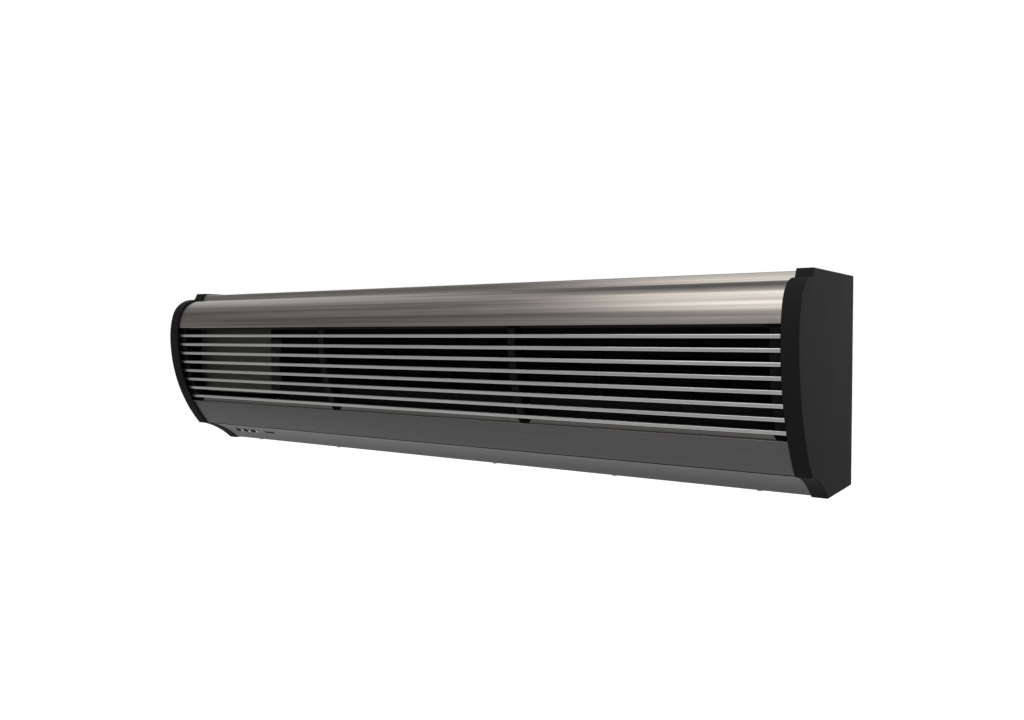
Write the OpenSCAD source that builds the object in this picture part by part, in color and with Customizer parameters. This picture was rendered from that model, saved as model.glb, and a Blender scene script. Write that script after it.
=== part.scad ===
// Wall-mounted air curtain: a cross-flow fan behind a slatted intake blows a sheet of air down
// through a slot in the underside of a wide, shallow housing.
// Sections are drawn as [u, v]: u runs out from the wall, v up from the underside of the body.
// In the finished part X runs along the body, -Y out of the wall and +Z up, and the origin is
// the centre of the wall plate's bolt holes, on the wall.

/* [Body] */
// Width over both end caps
body_w = 900; // [760:10:1400]
// Height
body_h = 219; // [216:1:232]
// Depth from the wall
body_d = 194; // [192:1:204]
// Thickness of the metal panels
skin_t = 1.5; // [1:0.1:2]
// Gap left between fixed pieces
fit = 0.2; // [0.1:0.05:0.3]
// Width of the open joint line between two panels
seam = 0.6; // [0.4:0.1:1]

/* [Outline] */
// How far behind the body's front the raised flat top ends
step_back = 46; // [45:1:64]
// Height of the step in front of the raised top
step_h = 9; // [7:1:12]
// How far that step's face leans out
step_run = 5; // [3:0.5:6]
// Radius of the tight upper front corner
nose_r = 34; // [28:1:36]
// Radius of the slow curve between that corner and the height where the front stands furthest out
front_r = 107; // [95:1:120]
// Drop from the top to the height where the front stands furthest out
nose_drop = 64; // [60:1:70]
// How far back the long curve down from there carries the lip at its foot
lip_back = 47; // [44:0.5:51]
// Height of that lip
lip_v = 27; // [24:1:30]
// Depth of the flat ledge under the lip
ledge = 4; // [3:0.5:6]
// How far behind the body's front the hollow under the lip ends
toe_back = 102; // [98:1:106]
// How deep the hollow under the lip curves in
cove_sag = 3.5; // [2:0.5:4.5]

/* [End caps] */
// Width of the rim that wraps over the panels' ends
cap_w = 16.5; // [15:0.5:24]
// Thickness of that rim, and how far it stands proud of the panels
rim_t = 2.5; // [2:0.1:3]
// The same under the body and in the hollow
under_t = 1.2; // [1:0.1:2]
// Thickness of the flat outer wall
cap_wall = 3; // [2:0.5:4]
// Radius of the screw bosses inside
boss_r = 5; // [4:0.5:6]
// Radius of the self-tapping screws that hold the caps
cap_screw_r = 1.75; // [1.5:0.25:2]

/* [Grille] */
// Drop from the top to the lower edge of the top cover
cover_drop = 51; // [49:1:53]
// Height of the joint under the grille's bottom rail
rail_v = 61.8; // [60:0.2:63]
// Height of the rail's upright strip
rail_h = 4.6; // [4:0.1:5]
// How far that strip lies behind the body's outline
rail_setback = 10; // [8:0.5:12]
// Number of slats
slat_count = 8; // [6:1:9]
// Thickness of a slat's flat-fronted nose
slat_t = 4; // [3.4:0.1:4.4]
// Thickness of a slat's tail
tail_t = 2.4; // [1.8:0.1:2.8]
// Depth of a slat, nose to tail
slat_d = 14; // [12:1:15]
// Radius of the nose's two edges
slat_edge_r = 0.9; // [0.5:0.1:1.2]
// How far the slats' noses lie behind the body's outline
slat_inset = 5; // [4:0.5:6]
// Distance between the two middle ribs
rib_pitch = 290; // [200:10:360]
// Width of a rib across the slats
rib_w = 9; // [6:1:11]
// Depth of a rib
rib_d = 16; // [15:1:17]
// Width of the top of a rib's foot
foot_w = 18; // [14:1:20]
// Width of the foot's lower edge
foot_low_w = 10.4; // [8:0.4:12]
// Width of the top of a rib's head
head_w = 19; // [16:1:22]
// Width of the head's lower edge
head_low_w = 16; // [12:1:18]

/* [Fan] */
// How far behind the body's front the wheel stands; with the scroll's gaps this sets its radius
wheel_back = 52; // [50:1:60]
// Depth of the blade ring, from its outside to its inside
ring_d = 11; // [9:1:14]
// Thickness of a blade
blade_t = 1.2; // [0.8:0.1:1.6]
// Blades round the wheel
blade_count = 24; // [18:1:28]
// Length of one section of the wheel
section_l = 98; // [80:1:140]
// Thickness of the wheel's rings and end discs
disc_t = 1.5; // [1:0.1:2.5]
// How far the fan's axis lies above the middle of the grille
fan_above = 3; // [2:0.5:6]
// Gap between the wheel and the scroll's tight end
scroll_near = 5; // [4:0.5:7]
// Gap between the wheel and the scroll's wide end
scroll_far = 27.5; // [22:0.5:28]
// Room left behind the scroll
scroll_back = 7.1; // [5:0.1:9]
// Thickness of the sheet steel inside
sheet_t = 1.2; // [0.8:0.1:1.5]
// Radius of the motor shaft and of the stub shaft
shaft_r = 4; // [3:0.5:5]
// Running clearance round a shaft or pin
run = 0.05; // [0.03:0.01:0.08]

/* [Motor] */
// Radius of the motor's can
motor_r = 44; // [38:1:45]
// Length of the motor's can
motor_l = 60; // [50:1:64]
// Length of the compartment at the left end
bay_l = 155; // [150:1:200]
// How far the compartment's cover plate lies behind the body's front
bay_setback = 44; // [42:1:46]
// Radius of the end bosses that the rubber rings hold
motor_boss_r = 15; // [13:1:17]
// Wall of the rubber rings
rubber_t = 6; // [4:0.5:8]

/* [Outlet] */
// Distance from the wall to the back wall of the outlet
outlet_back = 31; // [28:1:34]
// Distance from the outlet's front wall to the foot of the hollow
toe_gap = 8; // [6:1:10]
// Height of the guide vane
vane_h = 36; // [28:1:38]
// Thickness of the guide vane
vane_t = 3; // [2.5:0.1:4]
// Radius of the vane's pivot pins
pin_r = 2.5; // [2:0.1:3]
// Height of the vane's pivot above the underside
vane_v = 26; // [24:1:30]

/* [Controls] */
// Radius of a push button
button_r = 3.6; // [3:0.1:4.5]
// How far a button stands out of the panel
button_out = 1.2; // [0.8:0.1:1.6]
// How far a button travels
button_travel = 0.8; // [0.5:0.1:1]
// Distance between buttons
button_pitch = 16.5; // [15:0.5:18]
// Distance from the end cap to the first button
button_start = 30.5; // [28:0.5:36]
// Length of the receiver's window
window_l = 20; // [16:1:24]
// Height of the receiver's window
window_h = 4; // [3:0.5:5]

/* [Wall plate] */
// Height of the bolt holes' centre above the underside
plate_v = 130; // [124:1:136]
// Height of the wall plate
plate_h = 100; // [90:1:110]
// Thickness of the wall plate
plate_t = 2; // [1.5:0.1:2.5]
// Distance from each end of the body to the end of the wall plate
plate_end = 50; // [40:5:60]
// Bolt holes, distance apart along the body
bolt_x = 700; // [500:10:720]
// Bolt holes, distance apart in height
bolt_z = 60; // [40:1:70]
// Radius of a bolt hole
bolt_r = 4; // [3:0.25:5]

/* [Hidden] */
$fn = 96;
eps = 0.01;
// How far a cutting shape runs past what it cuts
cut = 1;

// Outline of the body
step_u = body_d - step_back;
toe_u = body_d - toe_back;
outlet_front = toe_u - toe_gap;
lip_u = body_d - lip_back;
step_lean = step_run / step_h;
shoulder_v = body_h - step_h;
belly_v = body_h - nose_drop;
belly_r = (pow(lip_back, 2) + pow(belly_v - lip_v, 2)) / (2 * lip_back);
belly_c = [body_d - belly_r, belly_v];
front_c = [body_d - front_r, belly_v];
nose_rise = shoulder_v - nose_r - belly_v;
nose_c = [front_c[0] + sqrt(pow(front_r - nose_r, 2) - pow(nose_rise, 2)), belly_v + nose_rise];
function front_u(v, inset = 0) = v >= belly_v
    ? front_c[0] + sqrt(pow(front_r - inset, 2) - pow(v - belly_v, 2))
    : belly_c[0] + sqrt(pow(belly_r - inset, 2) - pow(v - belly_v, 2));

// The hollow under the lip is an arc from the ledge to the toe
cove_from = [lip_u - ledge, lip_v];
cove_to = [toe_u, 0];
cove_chord = norm(cove_from - cove_to);
cove_r = pow(cove_chord, 2) / (8 * cove_sag) + cove_sag / 2;
cove_out = [cove_from[1] - cove_to[1], cove_to[0] - cove_from[0]] / cove_chord;
cove_c = (cove_from + cove_to) / 2 + cove_out * (cove_r - cove_sag);

// Panels lie closer to the outline under the body than in front of it
function under(inset) = max(inset * under_t / rim_t, inset - rim_t + under_t);

// Stations along the body
x_end = body_w / 2;
x_rim = x_end - cap_w;
x_wall = x_end - cap_wall;
x_skin = x_wall - fit;
cap_lap = 3;
x_plate = x_rim + cap_lap;
x_split = -x_plate + bay_l;
x_fan = x_split + sheet_t + fit;

// Sheet steel frame
web_u = 8;
web_in = web_u + sheet_t;
inner = rim_t + skin_t + fit;
floor_v = under(inner);
cover_v = body_h - cover_drop;
flange_v = body_h - inner;
flange_d = 36;
tab_l = 14;
tab_v = 60;
tab_h = 80;
bay_d = 38;
bay_u = front_u(rail_v) - bay_d;
tab_screw_in = 12;
flange_clear = 2;
return_d = 27;
cover_lip_u = front_u(cover_v) - return_d;
panel_flange_d = 22;
panel_flange_u = front_u(rail_v) - panel_flange_d;
split_u = cove_from[0] + fit;
upstand_u = split_u - seam - skin_t;
upstand_h = 10;
bay_plate_u = body_d - bay_setback;
bay_plate_v = rail_v + 14.2;
bay_plate_foot = 14;
bay_flange_reach = 12;
bay_flange_low = 4;
bay_flange_top = 16;
floor_reach_back = 8;
floor_reach_front = 6;
floor_flange_short = 4;
floor_flange_h = 12;

// Fan
fan_v = (rail_v + cover_v) / 2 + fan_above;
half_turn = 180;
scroll_from = 50;
scroll_to = 200;
scroll_step = 6;
scroll_lead = 18;
scroll_lap = 3;
function scroll_part(a) = (a - scroll_from) / (scroll_to - scroll_from);
function scroll_gap(a) = scroll_near + (scroll_far - scroll_near) * scroll_part(a);
wheel_r = (body_d - wheel_back - web_in - scroll_back - scroll_gap(half_turn) - sheet_t) / 2;
ring_r = wheel_r - ring_d;
function scroll_r(a) = wheel_r + scroll_gap(a) + sheet_t / 2;
fan_u = web_in + scroll_back + scroll_r(half_turn) + sheet_t / 2;
fan_c = [fan_u, fan_v];
shelf_v = cover_v + skin_t + fit + sheet_t / 2;
tongue_gap = 4;
tongue_r = wheel_r + tongue_gap + sheet_t / 2;
tongue_from = -34;
tongue_to = -58;
tongue_foot = [5, 11];
tongue_foot_v = rail_v + skin_t + fit + sheet_t / 2;
tongue_toe = 6;
tongue_toe_v = floor_v + sheet_t / 2;
tongue_knee_v = 24;
tongue_lean = 1;
wheel_gap = 4.2;
wheel_end_gap = 8;
wheel_from = x_fan + wheel_gap;
wheel_to = x_plate - wheel_end_gap;
blade_edge = 1;
blade_bend = 0.85;
blade_lean = 0.6;
ring_lip = 4;
hub_lip = 4;
hub_snap = 3;
hub_lip_t = 1.5;
hub_hole_gap = 6;
sections = round((wheel_to - wheel_from) / section_l);
hub_r = 14;
hub_l = 18;
stub_boss_r = shaft_r + 4;
stub_boss_l = 9;
stub_flange_r = 20;
stub_flange_t = 2;
seat_lip = 3;
seat_lip_t = 2;
bush_in = 4;
bearing_seat = 14;
bush_out = 9;
bush_l = 10;

// Motor
can_t = 1.2;
core_l = 34;
rotor_r = 23;
bearing_r = 9;
bearing_l = 7;
end_t = 2;
ring_rr = motor_boss_r + rubber_t;
dome_l = 4;
dome_in = 10;
spigot_l = 4;
spigot_t = 1.3;
pocket = end_t + dome_l - 2;
rotor_ring_l = 5;
rotor_ring_in = 2;
winding_l = 7;
winding_in = 8;
motor_boss_l = 16;
boss_end = 1;
shaft_out = 2;
shaft_in = 4;
motor_shift = 12;
cradle_r = ring_rr + 9;
clamp_screw_l = 22;
clamp_screw_r = 1.2;
clamp_head_r = 2.4;
clamp_head_l = 1.4;
clamp_face = 12;
clamp_head_room = 0.4;
clamp_out = 4.5;
seat_room = 0.1;
ring_l = 8;
arm_t = 4;
base_t = 2;
base_h = 68;
motor_mid = (-x_rim + x_split) / 2 + motor_shift;
motor_from = motor_mid - motor_l / 2;
motor_to = motor_mid + motor_l / 2;
ring_x = [motor_from - motor_boss_l + boss_end, motor_to + motor_boss_l - boss_end - ring_l];

// Outlet
vane_shift = 2;
vane_u = (outlet_back + outlet_front) / 2 + vane_shift;
vane_c = [vane_u, vane_v];
vane_gap = 3;
vane_from = x_fan + vane_gap;
vane_to = x_plate - vane_gap;
spine_r = pin_r + 0.8;
pin_l = 7;
bush_r = pin_r + 1.5;
bush_lip = 2;
bush_lip_t = 1;
bush_proud = 1.2;

// Grille
rail_u = front_u(rail_v) - rail_setback;
rail_top = rail_v + rail_h;
slat_rise = 7.8;
slat_drop = 10.9;
slat_nose_d = 4;
slat_low = rail_v + slat_rise;
slat_high = cover_v - slat_drop;
function slat_v(k) = slat_high - (slat_high - slat_low) * (k - 1) / (slat_count - 1);
rib_back = 2;
rib_front = slat_inset + rib_back;
rib_end = 7;
rib_x = [rib_end - x_rim, -rib_pitch / 2, rib_pitch / 2, x_rim - rib_end];
tab_t = 1.2;
tab_up = 1.1;
tab_low = 0.5;
rail_lap = 1;
strip_h = 2.5;
strip_u = front_u(cover_v) - rail_setback;
head_v = cover_v - strip_h - fit - tab_up;

// Controls stand square to the hollow
ctl_drop = 5.5;
ctl_u = (cove_from[0] + toe_u) / 2 - ctl_drop;
ctl_phi = 180 - acos((cove_c[0] - ctl_u) / (cove_r + under_t));
ctl_v = cove_c[1] + (cove_r + under_t) * sin(ctl_phi);
ctl_x = -x_rim + button_start;
led_x = ctl_x + button_pitch / 2;
button_count = 3;
window_gap = 9.5;
window_x = ctl_x + button_count * button_pitch + window_gap + window_l / 2;
window_rim = [2.5, 2];
lens_t = 1.4;
led_r = 1.5;
board_z = -9.2;
board_t = 1.6;
board_rim = 9;
board_lead = 8;
board_w = button_count * button_pitch + window_l + 2 * board_rim;
board_d = 24;
board_x = ctl_x - board_lead + board_w / 2;
switch_w = 6;
switch_h = 3;
switch_top = board_z + 3.6;
knob_r = 1.6;
sensor = [7, 5, 5];
relay = [22, 14, 12];
relay_x = board_x + 14;
relay_back = board_z - board_t - relay[2];
seat_gap = 0.25;
flange_z = -skin_t - seat_gap;
button_lip = 1.5;
button_lip_t = 1.2;
stem_r = 1.8;
stem_gap = 0.1;
stem_z = switch_top + button_travel + stem_gap;
spacer_r = 2.8;
spacer_in = 3;
peg_r = 1.2;
peg_l = 1.5;
peg_snap = 0.5;
peg_snap_l = 1.3;
panel_hole_l = 8;
button_room = 0.3;
led_room = 0.1;
function ctl_at(z) = cove_c + (cove_r + under_t - z) * [cos(ctl_phi), sin(ctl_phi)];

// Wall plate
hook_x = [-0.6, -0.2, 0.2, 0.6] * x_rim;
hook_w = 26;
hook_low = 10;
hook_v = plate_v + plate_h / 2 - hook_low;
hook_rise = 12;
slot_room = 2;

// Wiring
grommet_x = -x_rim + 30;
grommet_v = 30;
grommet_r = 8;
grommet_lip = 3;
grommet_lip_t = 1.5;
cable_r = 4.5;
block_x = -x_rim + 16;
block_v = 52;
block = [48, 12, 20];
block_front = [48, 7, 10];
block_step = 5;
ways = 4;
way_pitch = block[0] / ways;
way_r = 2.8;
way_l = 3;
block_screw_v = 2.5;
block_screw_x = [block_x + way_pitch, block_x + (ways - 1) * way_pitch];
cap_x = -x_rim + 12;
capacitor = [48, 22, 34];
cap_v = body_h - 61;
lug = [10, 12, 2];
lug_c = [cap_x + capacitor[0] + lug[0] / 2, cap_v + capacitor[2] / 2];
wire_r = 2;
wire_joint_r = wire_r + 0.2;
wire_up_u = web_in + 4;
wire_clear = 10;
wire_out_u = outlet_front + 4;
wire_mid_v = block_v + block[2] + 5;
wire_side_x = -x_plate + 20;
wire_cap_x = cap_x + 20;
wire_in_x = block_x + (ways - 0.5) * way_pitch;
wire_out_x = block_x + (ways - 2.5) * way_pitch;

// Fasteners
screw_r = 1.6;
head_r = 3.4;
head_l = 1.6;
cap_boss_at = [[20, body_h - 27], [20, 26], [body_d - 72, body_h - 29], [body_d - 76, 42]];
tab_screw_v = [tab_v + tab_screw_in, tab_v + tab_h - tab_screw_in];
tab_screw_x = [-x_plate + tab_l / 2, x_split - tab_l / 2, x_plate - tab_l / 2];
tab_screw_at = [for (x = tab_screw_x, v = tab_screw_v) [x, v]];
bay_screw_u = bay_u - 6;
floor_screw_u = outlet_back + 21;
flange_screw_at = [[bay_screw_u, rail_v + 30], [bay_screw_u, cover_v - 26], [floor_screw_u, floor_v + 7]];
cover_screw_u = 26;
cover_screw_x = [-0.75, -0.25, 0.25, 0.75] * x_rim;
cover_screw_l = 8;
panel_screw_x = [-0.88, -0.5, 0.12, 0.5, 0.88] * x_rim;
panel_screw_head = [2.6, 1.1];
panel_hole_d = 4;
cove_screw_in = 3.2;
cove_screw_u = outlet_front + cove_screw_in;
panel_screw_in = 7;
panel_screw_u = panel_flange_u + panel_screw_in;
base_screw_x = [ring_x[0] + 14, ring_x[1] - 6];
base_screw_v = [fan_v - 26, fan_v + 26];
sheet_screw_l = 5;
block_screw_l = 14;
block_screw_head = 2.2;
cap_screw_end = 3;

// ---- Shared shapes ----

// Extrudes a [u, v] section from x = a to x = b
module across(a, b) translate([b, 0, 0]) rotate([90, 0, -90]) linear_extrude(b - a) children();

// Places children at x on the line through [u, v], turned so that their Z runs along +X
module axle(c, x) translate([x, -c[0], c[1]]) rotate([0, 90, 0]) children();

// Places children at [x, v] on the plane u, turned so that their Z points at the wall
module at_wall(c, u) translate([c[0], -u, c[1]]) rotate([-90, 0, 0]) children();

// Places children on the hollow's surface, their Z pointing out of it, count times along X
module on_cove(x, count = 1) for (i = [0:count - 1])
    translate([x + i * button_pitch, -ctl_u, ctl_v]) rotate([270 - ctl_phi, 0, 0]) children();

// The body's section, drawn in by inset from its outline; the wall side stays open
module section(inset = 0) difference() {
    union() {
        intersection() {
            translate(belly_c) circle(belly_r - inset);
            translate([0, under(inset)]) square([body_d, belly_v - under(inset)]);
        }
        intersection() {
            translate(front_c) circle(front_r - inset);
            translate([0, belly_v]) square([body_d, nose_rise * (front_r - inset) / (front_r - nose_r)]);
        }
        intersection() {
            translate(nose_c) circle(nose_r - inset);
            translate(nose_c) square(nose_r);
        }
        translate([0, belly_v]) square([nose_c[0], shoulder_v - inset - belly_v]);
        raised_top(inset);
    }
    intersection() {
        translate(cove_c) circle(cove_r + under(inset));
        translate([0, -1]) square([body_d, lip_v + under(inset) + 1]);
    }
}

// The raised flat top and its leaning step
function step_face(v, inset) = step_u + step_lean * (body_h - v) - inset * norm([1, step_lean]);
module raised_top(inset) polygon([
    [0, shoulder_v - inset - 1],
    [step_face(shoulder_v - inset, inset), shoulder_v - inset - 1],
    [step_face(shoulder_v - inset, inset), shoulder_v - inset],
    [step_face(body_h - inset, inset), body_h - inset],
    [0, body_h - inset]]);

// A wall that follows the outline, between two depths below it
module shell(inset, t) difference() {
    section(inset);
    section(inset + t);
}

// Everything between two heights
module band(low, high) translate([-1, low]) square([body_d + 2, high - low]);

// A strip of sheet metal bent along a path of [u, v] points
function normal(d) = [-d[1], d[0]] / norm(d);
function miter(path, i) =
    let (last = len(path) - 1,
        n1 = normal(i == 0 ? path[1] - path[0] : path[i] - path[i - 1]),
        n2 = normal(i == last ? path[last] - path[last - 1] : path[i + 1] - path[i]))
    (n1 + n2) / (1 + n1 * n2);
module ribbon(path, t) polygon(concat(
    [for (i = [0:len(path) - 1]) path[i] + miter(path, i) * t / 2],
    [for (i = [len(path) - 1:-1:0]) path[i] - miter(path, i) * t / 2]));

// A screw whose head sits on its own Z = 0, with the shank below
module screw(shank_r, shank_l, r = head_r, l = head_l) {
    cylinder(r = r, h = l);
    translate([0, 0, -shank_l]) cylinder(r = shank_r, h = shank_l + eps);
}
module hole(r, depth) translate([0, 0, -depth]) cylinder(r = r, h = 2 * depth);

// ---- Wall plate and frame ----

module wall_plate() color("gainsboro") difference() {
    union() {
        across(-x_end + plate_end, x_end - plate_end)
            translate([0, plate_v - plate_h / 2]) square([plate_t, plate_h]);
        for (x = hook_x) across(x - hook_w / 2, x + hook_w / 2) {
            translate([plate_t - eps, hook_v - plate_t]) square([web_in + fit, plate_t]);
            translate([web_in + fit, hook_v - plate_t]) square([plate_t - eps, hook_rise]);
        }
    }
    for (sx = [-1, 1], sv = [-1, 1])
        at_wall([sx * bolt_x / 2, plate_v + sv * bolt_z / 2], plate_t / 2) hole(bolt_r, plate_t);
}

// Holes for the screws that join the frame's sheets
module tab_holes() for (c = tab_screw_at) at_wall(c, web_in) hole(screw_r + fit, 3 * sheet_t);
module flange_holes(x) for (c = flange_screw_at) axle(c, x) hole(screw_r + fit, 3 * sheet_t);
module base_screw_holes(r) for (x = base_screw_x, v = base_screw_v)
    at_wall([x, v], web_in) hole(r, 3 * sheet_t);

module rear_chassis() color("dimgray") difference() {
    across(-x_plate + fit, x_plate - fit) {
        translate([web_u, under_t]) square([sheet_t, flange_v - under_t]);
        translate([web_u, flange_v - sheet_t]) square([flange_d, sheet_t]);
        translate([web_u, under_t]) square([outlet_back - web_u - fit, sheet_t]);
    }
    for (x = hook_x)
        translate([x - hook_w / 2 - slot_room, -web_in - cut, hook_v - plate_t - hook_rise])
            cube([hook_w + 2 * slot_room, sheet_t + 2 * cut, hook_rise + plate_t + fit]);
    at_wall([grommet_x, grommet_v], web_in) hole(grommet_r, 3 * sheet_t);
    tab_holes();
    base_screw_holes(screw_r + run);
    for (x = block_screw_x) at_wall([x, block_v + block_screw_v], web_in) hole(screw_r + run, 3 * sheet_t);
    at_wall(lug_c, web_in) hole(screw_r + run, 3 * sheet_t);
    for (x = cover_screw_x) translate([x, -cover_screw_u, flange_v]) hole(screw_r + run, 3 * sheet_t);
}

// Steel plate across the body, cut back where the grille stands and round the panels' flanges
module bulkhead() difference() {
    section(inner);
    square([web_in + fit, body_h]);
    translate([0, flange_v - sheet_t - fit]) square([web_in + flange_d + flange_clear, body_h]);
    translate([bay_u, rail_v - fit]) square([body_d, cover_v + skin_t + 2 * fit - rail_v]);
    translate([panel_flange_u - fit, rail_v - 3 * fit - skin_t]) square([body_d, skin_t + 3 * fit]);
    translate([upstand_u - fit, 0]) square([body_d, lip_v + under_t + upstand_h + fit]);
}

// Tab turned in along the chassis at the foot of a bulkhead
module bulkhead_tab(a, b) across(a, b) translate([web_in, tab_v]) square([sheet_t, tab_h]);

module end_plate_left() color("dimgray") difference() {
    union() {
        across(-x_plate - sheet_t, -x_plate) bulkhead();
        bulkhead_tab(-x_plate - sheet_t, -x_plate + tab_l);
    }
    for (c = cap_boss_at) axle(c, -x_plate) hole(cap_screw_r + fit, 3 * sheet_t);
    flange_holes(-x_plate);
    tab_holes();
}
module end_plate_right() color("dimgray") difference() {
    union() {
        across(x_plate, x_plate + sheet_t) bulkhead();
        bulkhead_tab(x_plate - tab_l, x_plate + sheet_t);
    }
    for (c = cap_boss_at) axle(c, x_plate) hole(cap_screw_r + fit, 3 * sheet_t);
    axle(fan_c, x_plate) hole(bearing_seat + fit / 2, 3 * sheet_t);
    axle(vane_c, x_plate) hole(bush_r + fit / 2, 3 * sheet_t);
    tab_holes();
}
module partition_plate() color("dimgray") difference() {
    union() {
        across(x_split, x_split + sheet_t) bulkhead();
        bulkhead_tab(x_split - tab_l, x_split + sheet_t);
    }
    axle(fan_c, x_split) hole(hub_r + hub_hole_gap, 3 * sheet_t);
    axle(vane_c, x_split) hole(bush_r + fit / 2, 3 * sheet_t);
    flange_holes(x_split);
    tab_holes();
}

// Plate that closes the electrical compartment behind the slats, with side flanges
module side_flanges() for (x = [-x_plate + fit, x_split - fit - sheet_t])
    across(x, x + sheet_t) children();
module compartment_cover() color("gray") difference() {
    union() {
        across(-x_plate + fit, x_split - fit) {
            translate([bay_plate_u, bay_plate_v]) square([sheet_t, cover_v - fit - bay_plate_v]);
            translate([bay_plate_u - bay_plate_foot, bay_plate_v]) square([bay_plate_foot + eps, sheet_t]);
        }
        side_flanges() translate([bay_u - bay_flange_reach, bay_plate_v + bay_flange_low])
            square([bay_plate_u - bay_u + bay_flange_reach + eps,
                cover_v - bay_plate_v - bay_flange_low - bay_flange_top]);
    }
    for (x = [-x_plate, x_split]) flange_holes(x);
}
module compartment_floor() color("dimgray") difference() {
    union() {
        across(-x_plate + fit, x_split - fit)
            translate([outlet_back - floor_reach_back, floor_v])
                square([outlet_front - outlet_back + floor_reach_back + floor_reach_front, sheet_t]);
        side_flanges() translate([outlet_back, floor_v])
            square([outlet_front - outlet_back - floor_flange_short, floor_flange_h]);
    }
    for (x = [-x_plate, x_split]) flange_holes(x);
    cove_screw_holes(screw_r + run);
}

// Scroll behind the fan wheel: a spiral that opens out towards the slot in the underside
scroll_path = concat(
    [[cover_lip_u + scroll_lap, shelf_v]],
    [[fan_u + (scroll_r(scroll_from) + scroll_lead) * cos(scroll_from), shelf_v]],
    [for (a = [scroll_from:scroll_step:scroll_to]) fan_c + scroll_r(a) * [cos(a), sin(a)]],
    [[outlet_back + sheet_t / 2, under_t + sheet_t + fit]]);
module scroll_casing() color("darkgray") across(x_fan, x_plate - fit) ribbon(scroll_path, sheet_t);

// Tongue that parts the air at the wheel and forms the slot's front wall
tongue_path = concat(
    [[bay_u + tongue_foot[1], tongue_foot_v], [bay_u + tongue_foot[0], tongue_foot_v]],
    [for (a = [tongue_from:-scroll_step:tongue_to]) fan_c + tongue_r * [cos(a), sin(a)]],
    [[outlet_front + tongue_lean, tongue_knee_v], [outlet_front + sheet_t / 2, tongue_toe_v]],
    [[outlet_front + tongue_toe, tongue_toe_v]]);
module scroll_tongue() color("darkgray") difference() {
    across(x_fan, x_plate - fit) ribbon(tongue_path, sheet_t);
    cove_screw_holes(screw_r + run);
}

// ---- Outer shell ----

// Rim, flat outer wall and bosses of a cap, from its outer face at x = out to its rim at x = lip
module end_cap(out, lip) color([0.13, 0.13, 0.13]) {
    side = sign(out);
    boss_a = side * (x_plate + sheet_t);
    across(min(out, lip), max(out, lip)) shell(0, rim_t - fit);
    across(min(out, side * x_wall), max(out, side * x_wall)) section();
    for (c = cap_boss_at) difference() {
        axle(c, min(boss_a, side * (x_wall + eps)))
            cylinder(r = boss_r, h = x_wall + eps - x_plate - sheet_t);
        axle(c, boss_a) hole(cap_screw_r + run, x_wall - x_plate - sheet_t - cut);
    }
}
module end_cap_left() end_cap(-x_end, -x_rim);
module end_cap_right() end_cap(x_end, x_rim);

module top_cover() color("silver") difference() {
    across(-x_skin, x_skin) {
        intersection() {
            shell(rim_t, skin_t);
            band(cover_v, body_h);
        }
        translate([cover_lip_u, cover_v]) square([return_d - rim_t - skin_t / 2, skin_t]);
        translate([strip_u - skin_t, cover_v - strip_h]) square([skin_t, strip_h + eps]);
    }
    for (x = cover_screw_x) translate([x, -cover_screw_u, body_h]) hole(screw_r + fit, inner);
}

// Screws under the slot's front edge, and those up through the front panel's flange
module cove_screw_holes(r) for (x = panel_screw_x)
    translate([x, -cove_screw_u, under_t]) hole(r, panel_hole_d);
module panel_screw_holes(r) for (x = panel_screw_x)
    translate([x, -panel_screw_u, rail_v]) hole(r, panel_hole_d);

module lower_front_panel() color("darkgray") difference() {
    across(-x_skin, x_skin) {
        intersection() {
            shell(rim_t, skin_t);
            translate([split_u, 0]) square([body_d, rail_v - fit]);
        }
        translate([panel_flange_u, rail_v - fit - skin_t])
            square([front_u(rail_v, rim_t + skin_t) - panel_flange_u, skin_t]);
    }
    panel_screw_holes(screw_r + fit);
}

module cove_panel() color("darkgray") difference() {
    across(-x_skin, x_skin) {
        intersection() {
            shell(rim_t, skin_t);
            translate([outlet_front, 0]) square([split_u - seam - outlet_front, lip_v + inner]);
        }
        translate([upstand_u, lip_v + under_t]) square([skin_t, upstand_h]);
    }
    on_cove(ctl_x, button_count) cylinder(r = button_r + button_room, h = panel_hole_l, center = true);
    on_cove(led_x, button_count) cylinder(r = led_r + led_room, h = panel_hole_l, center = true);
    on_cove(window_x) cube([window_l + fit, window_h + fit, panel_hole_l], center = true);
    cove_screw_holes(screw_r + fit);
}

module bottom_rail() color("silver") difference() {
    across(-x_skin, x_skin) {
        translate([rail_u - skin_t, rail_v]) square([skin_t, rail_h]);
        translate([bay_u + rail_lap, rail_v]) square([rail_u - bay_u - rail_lap, skin_t]);
    }
    panel_screw_holes(screw_r + run);
}

// ---- Grille ----

// A slat's section: a flat nose with round edges on a thinner tail, with room round it for a notch
module slat_section(k, room = 0) {
    nose = front_u(slat_v(k), slat_inset);
    half = slat_t / 2 - slat_edge_r;
    for (s = [-1, 1]) translate([nose - slat_edge_r, slat_v(k) + s * half]) circle(slat_edge_r + room);
    translate([nose - slat_edge_r, slat_v(k) - half]) square([slat_edge_r + room, 2 * half]);
    translate([nose - slat_nose_d - room, slat_v(k) - slat_t / 2 - room])
        square([slat_nose_d - slat_edge_r + room, slat_t + 2 * room]);
    translate([nose - slat_d - room, slat_v(k) - tail_t / 2 - room])
        square([slat_d - slat_edge_r + room, tail_t + 2 * room]);
}
module grille_slat(k) color("silver") across(-x_skin, x_skin) slat_section(k);

// A tapered block round an upright strip whose front is at face_u; its children are cut out of it
module clip(x, face_u, low, high, low_w, high_w) difference() {
    from = face_u - skin_t - fit - rail_lap;
    translate([x, -from, 0]) rotate([90, 0, 0]) linear_extrude(face_u + fit + tab_t - from)
        polygon([[-low_w / 2, low], [low_w / 2, low], [high_w / 2, high], [-high_w / 2, high]]);
    across(x - high_w, x + high_w) children();
}

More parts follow.
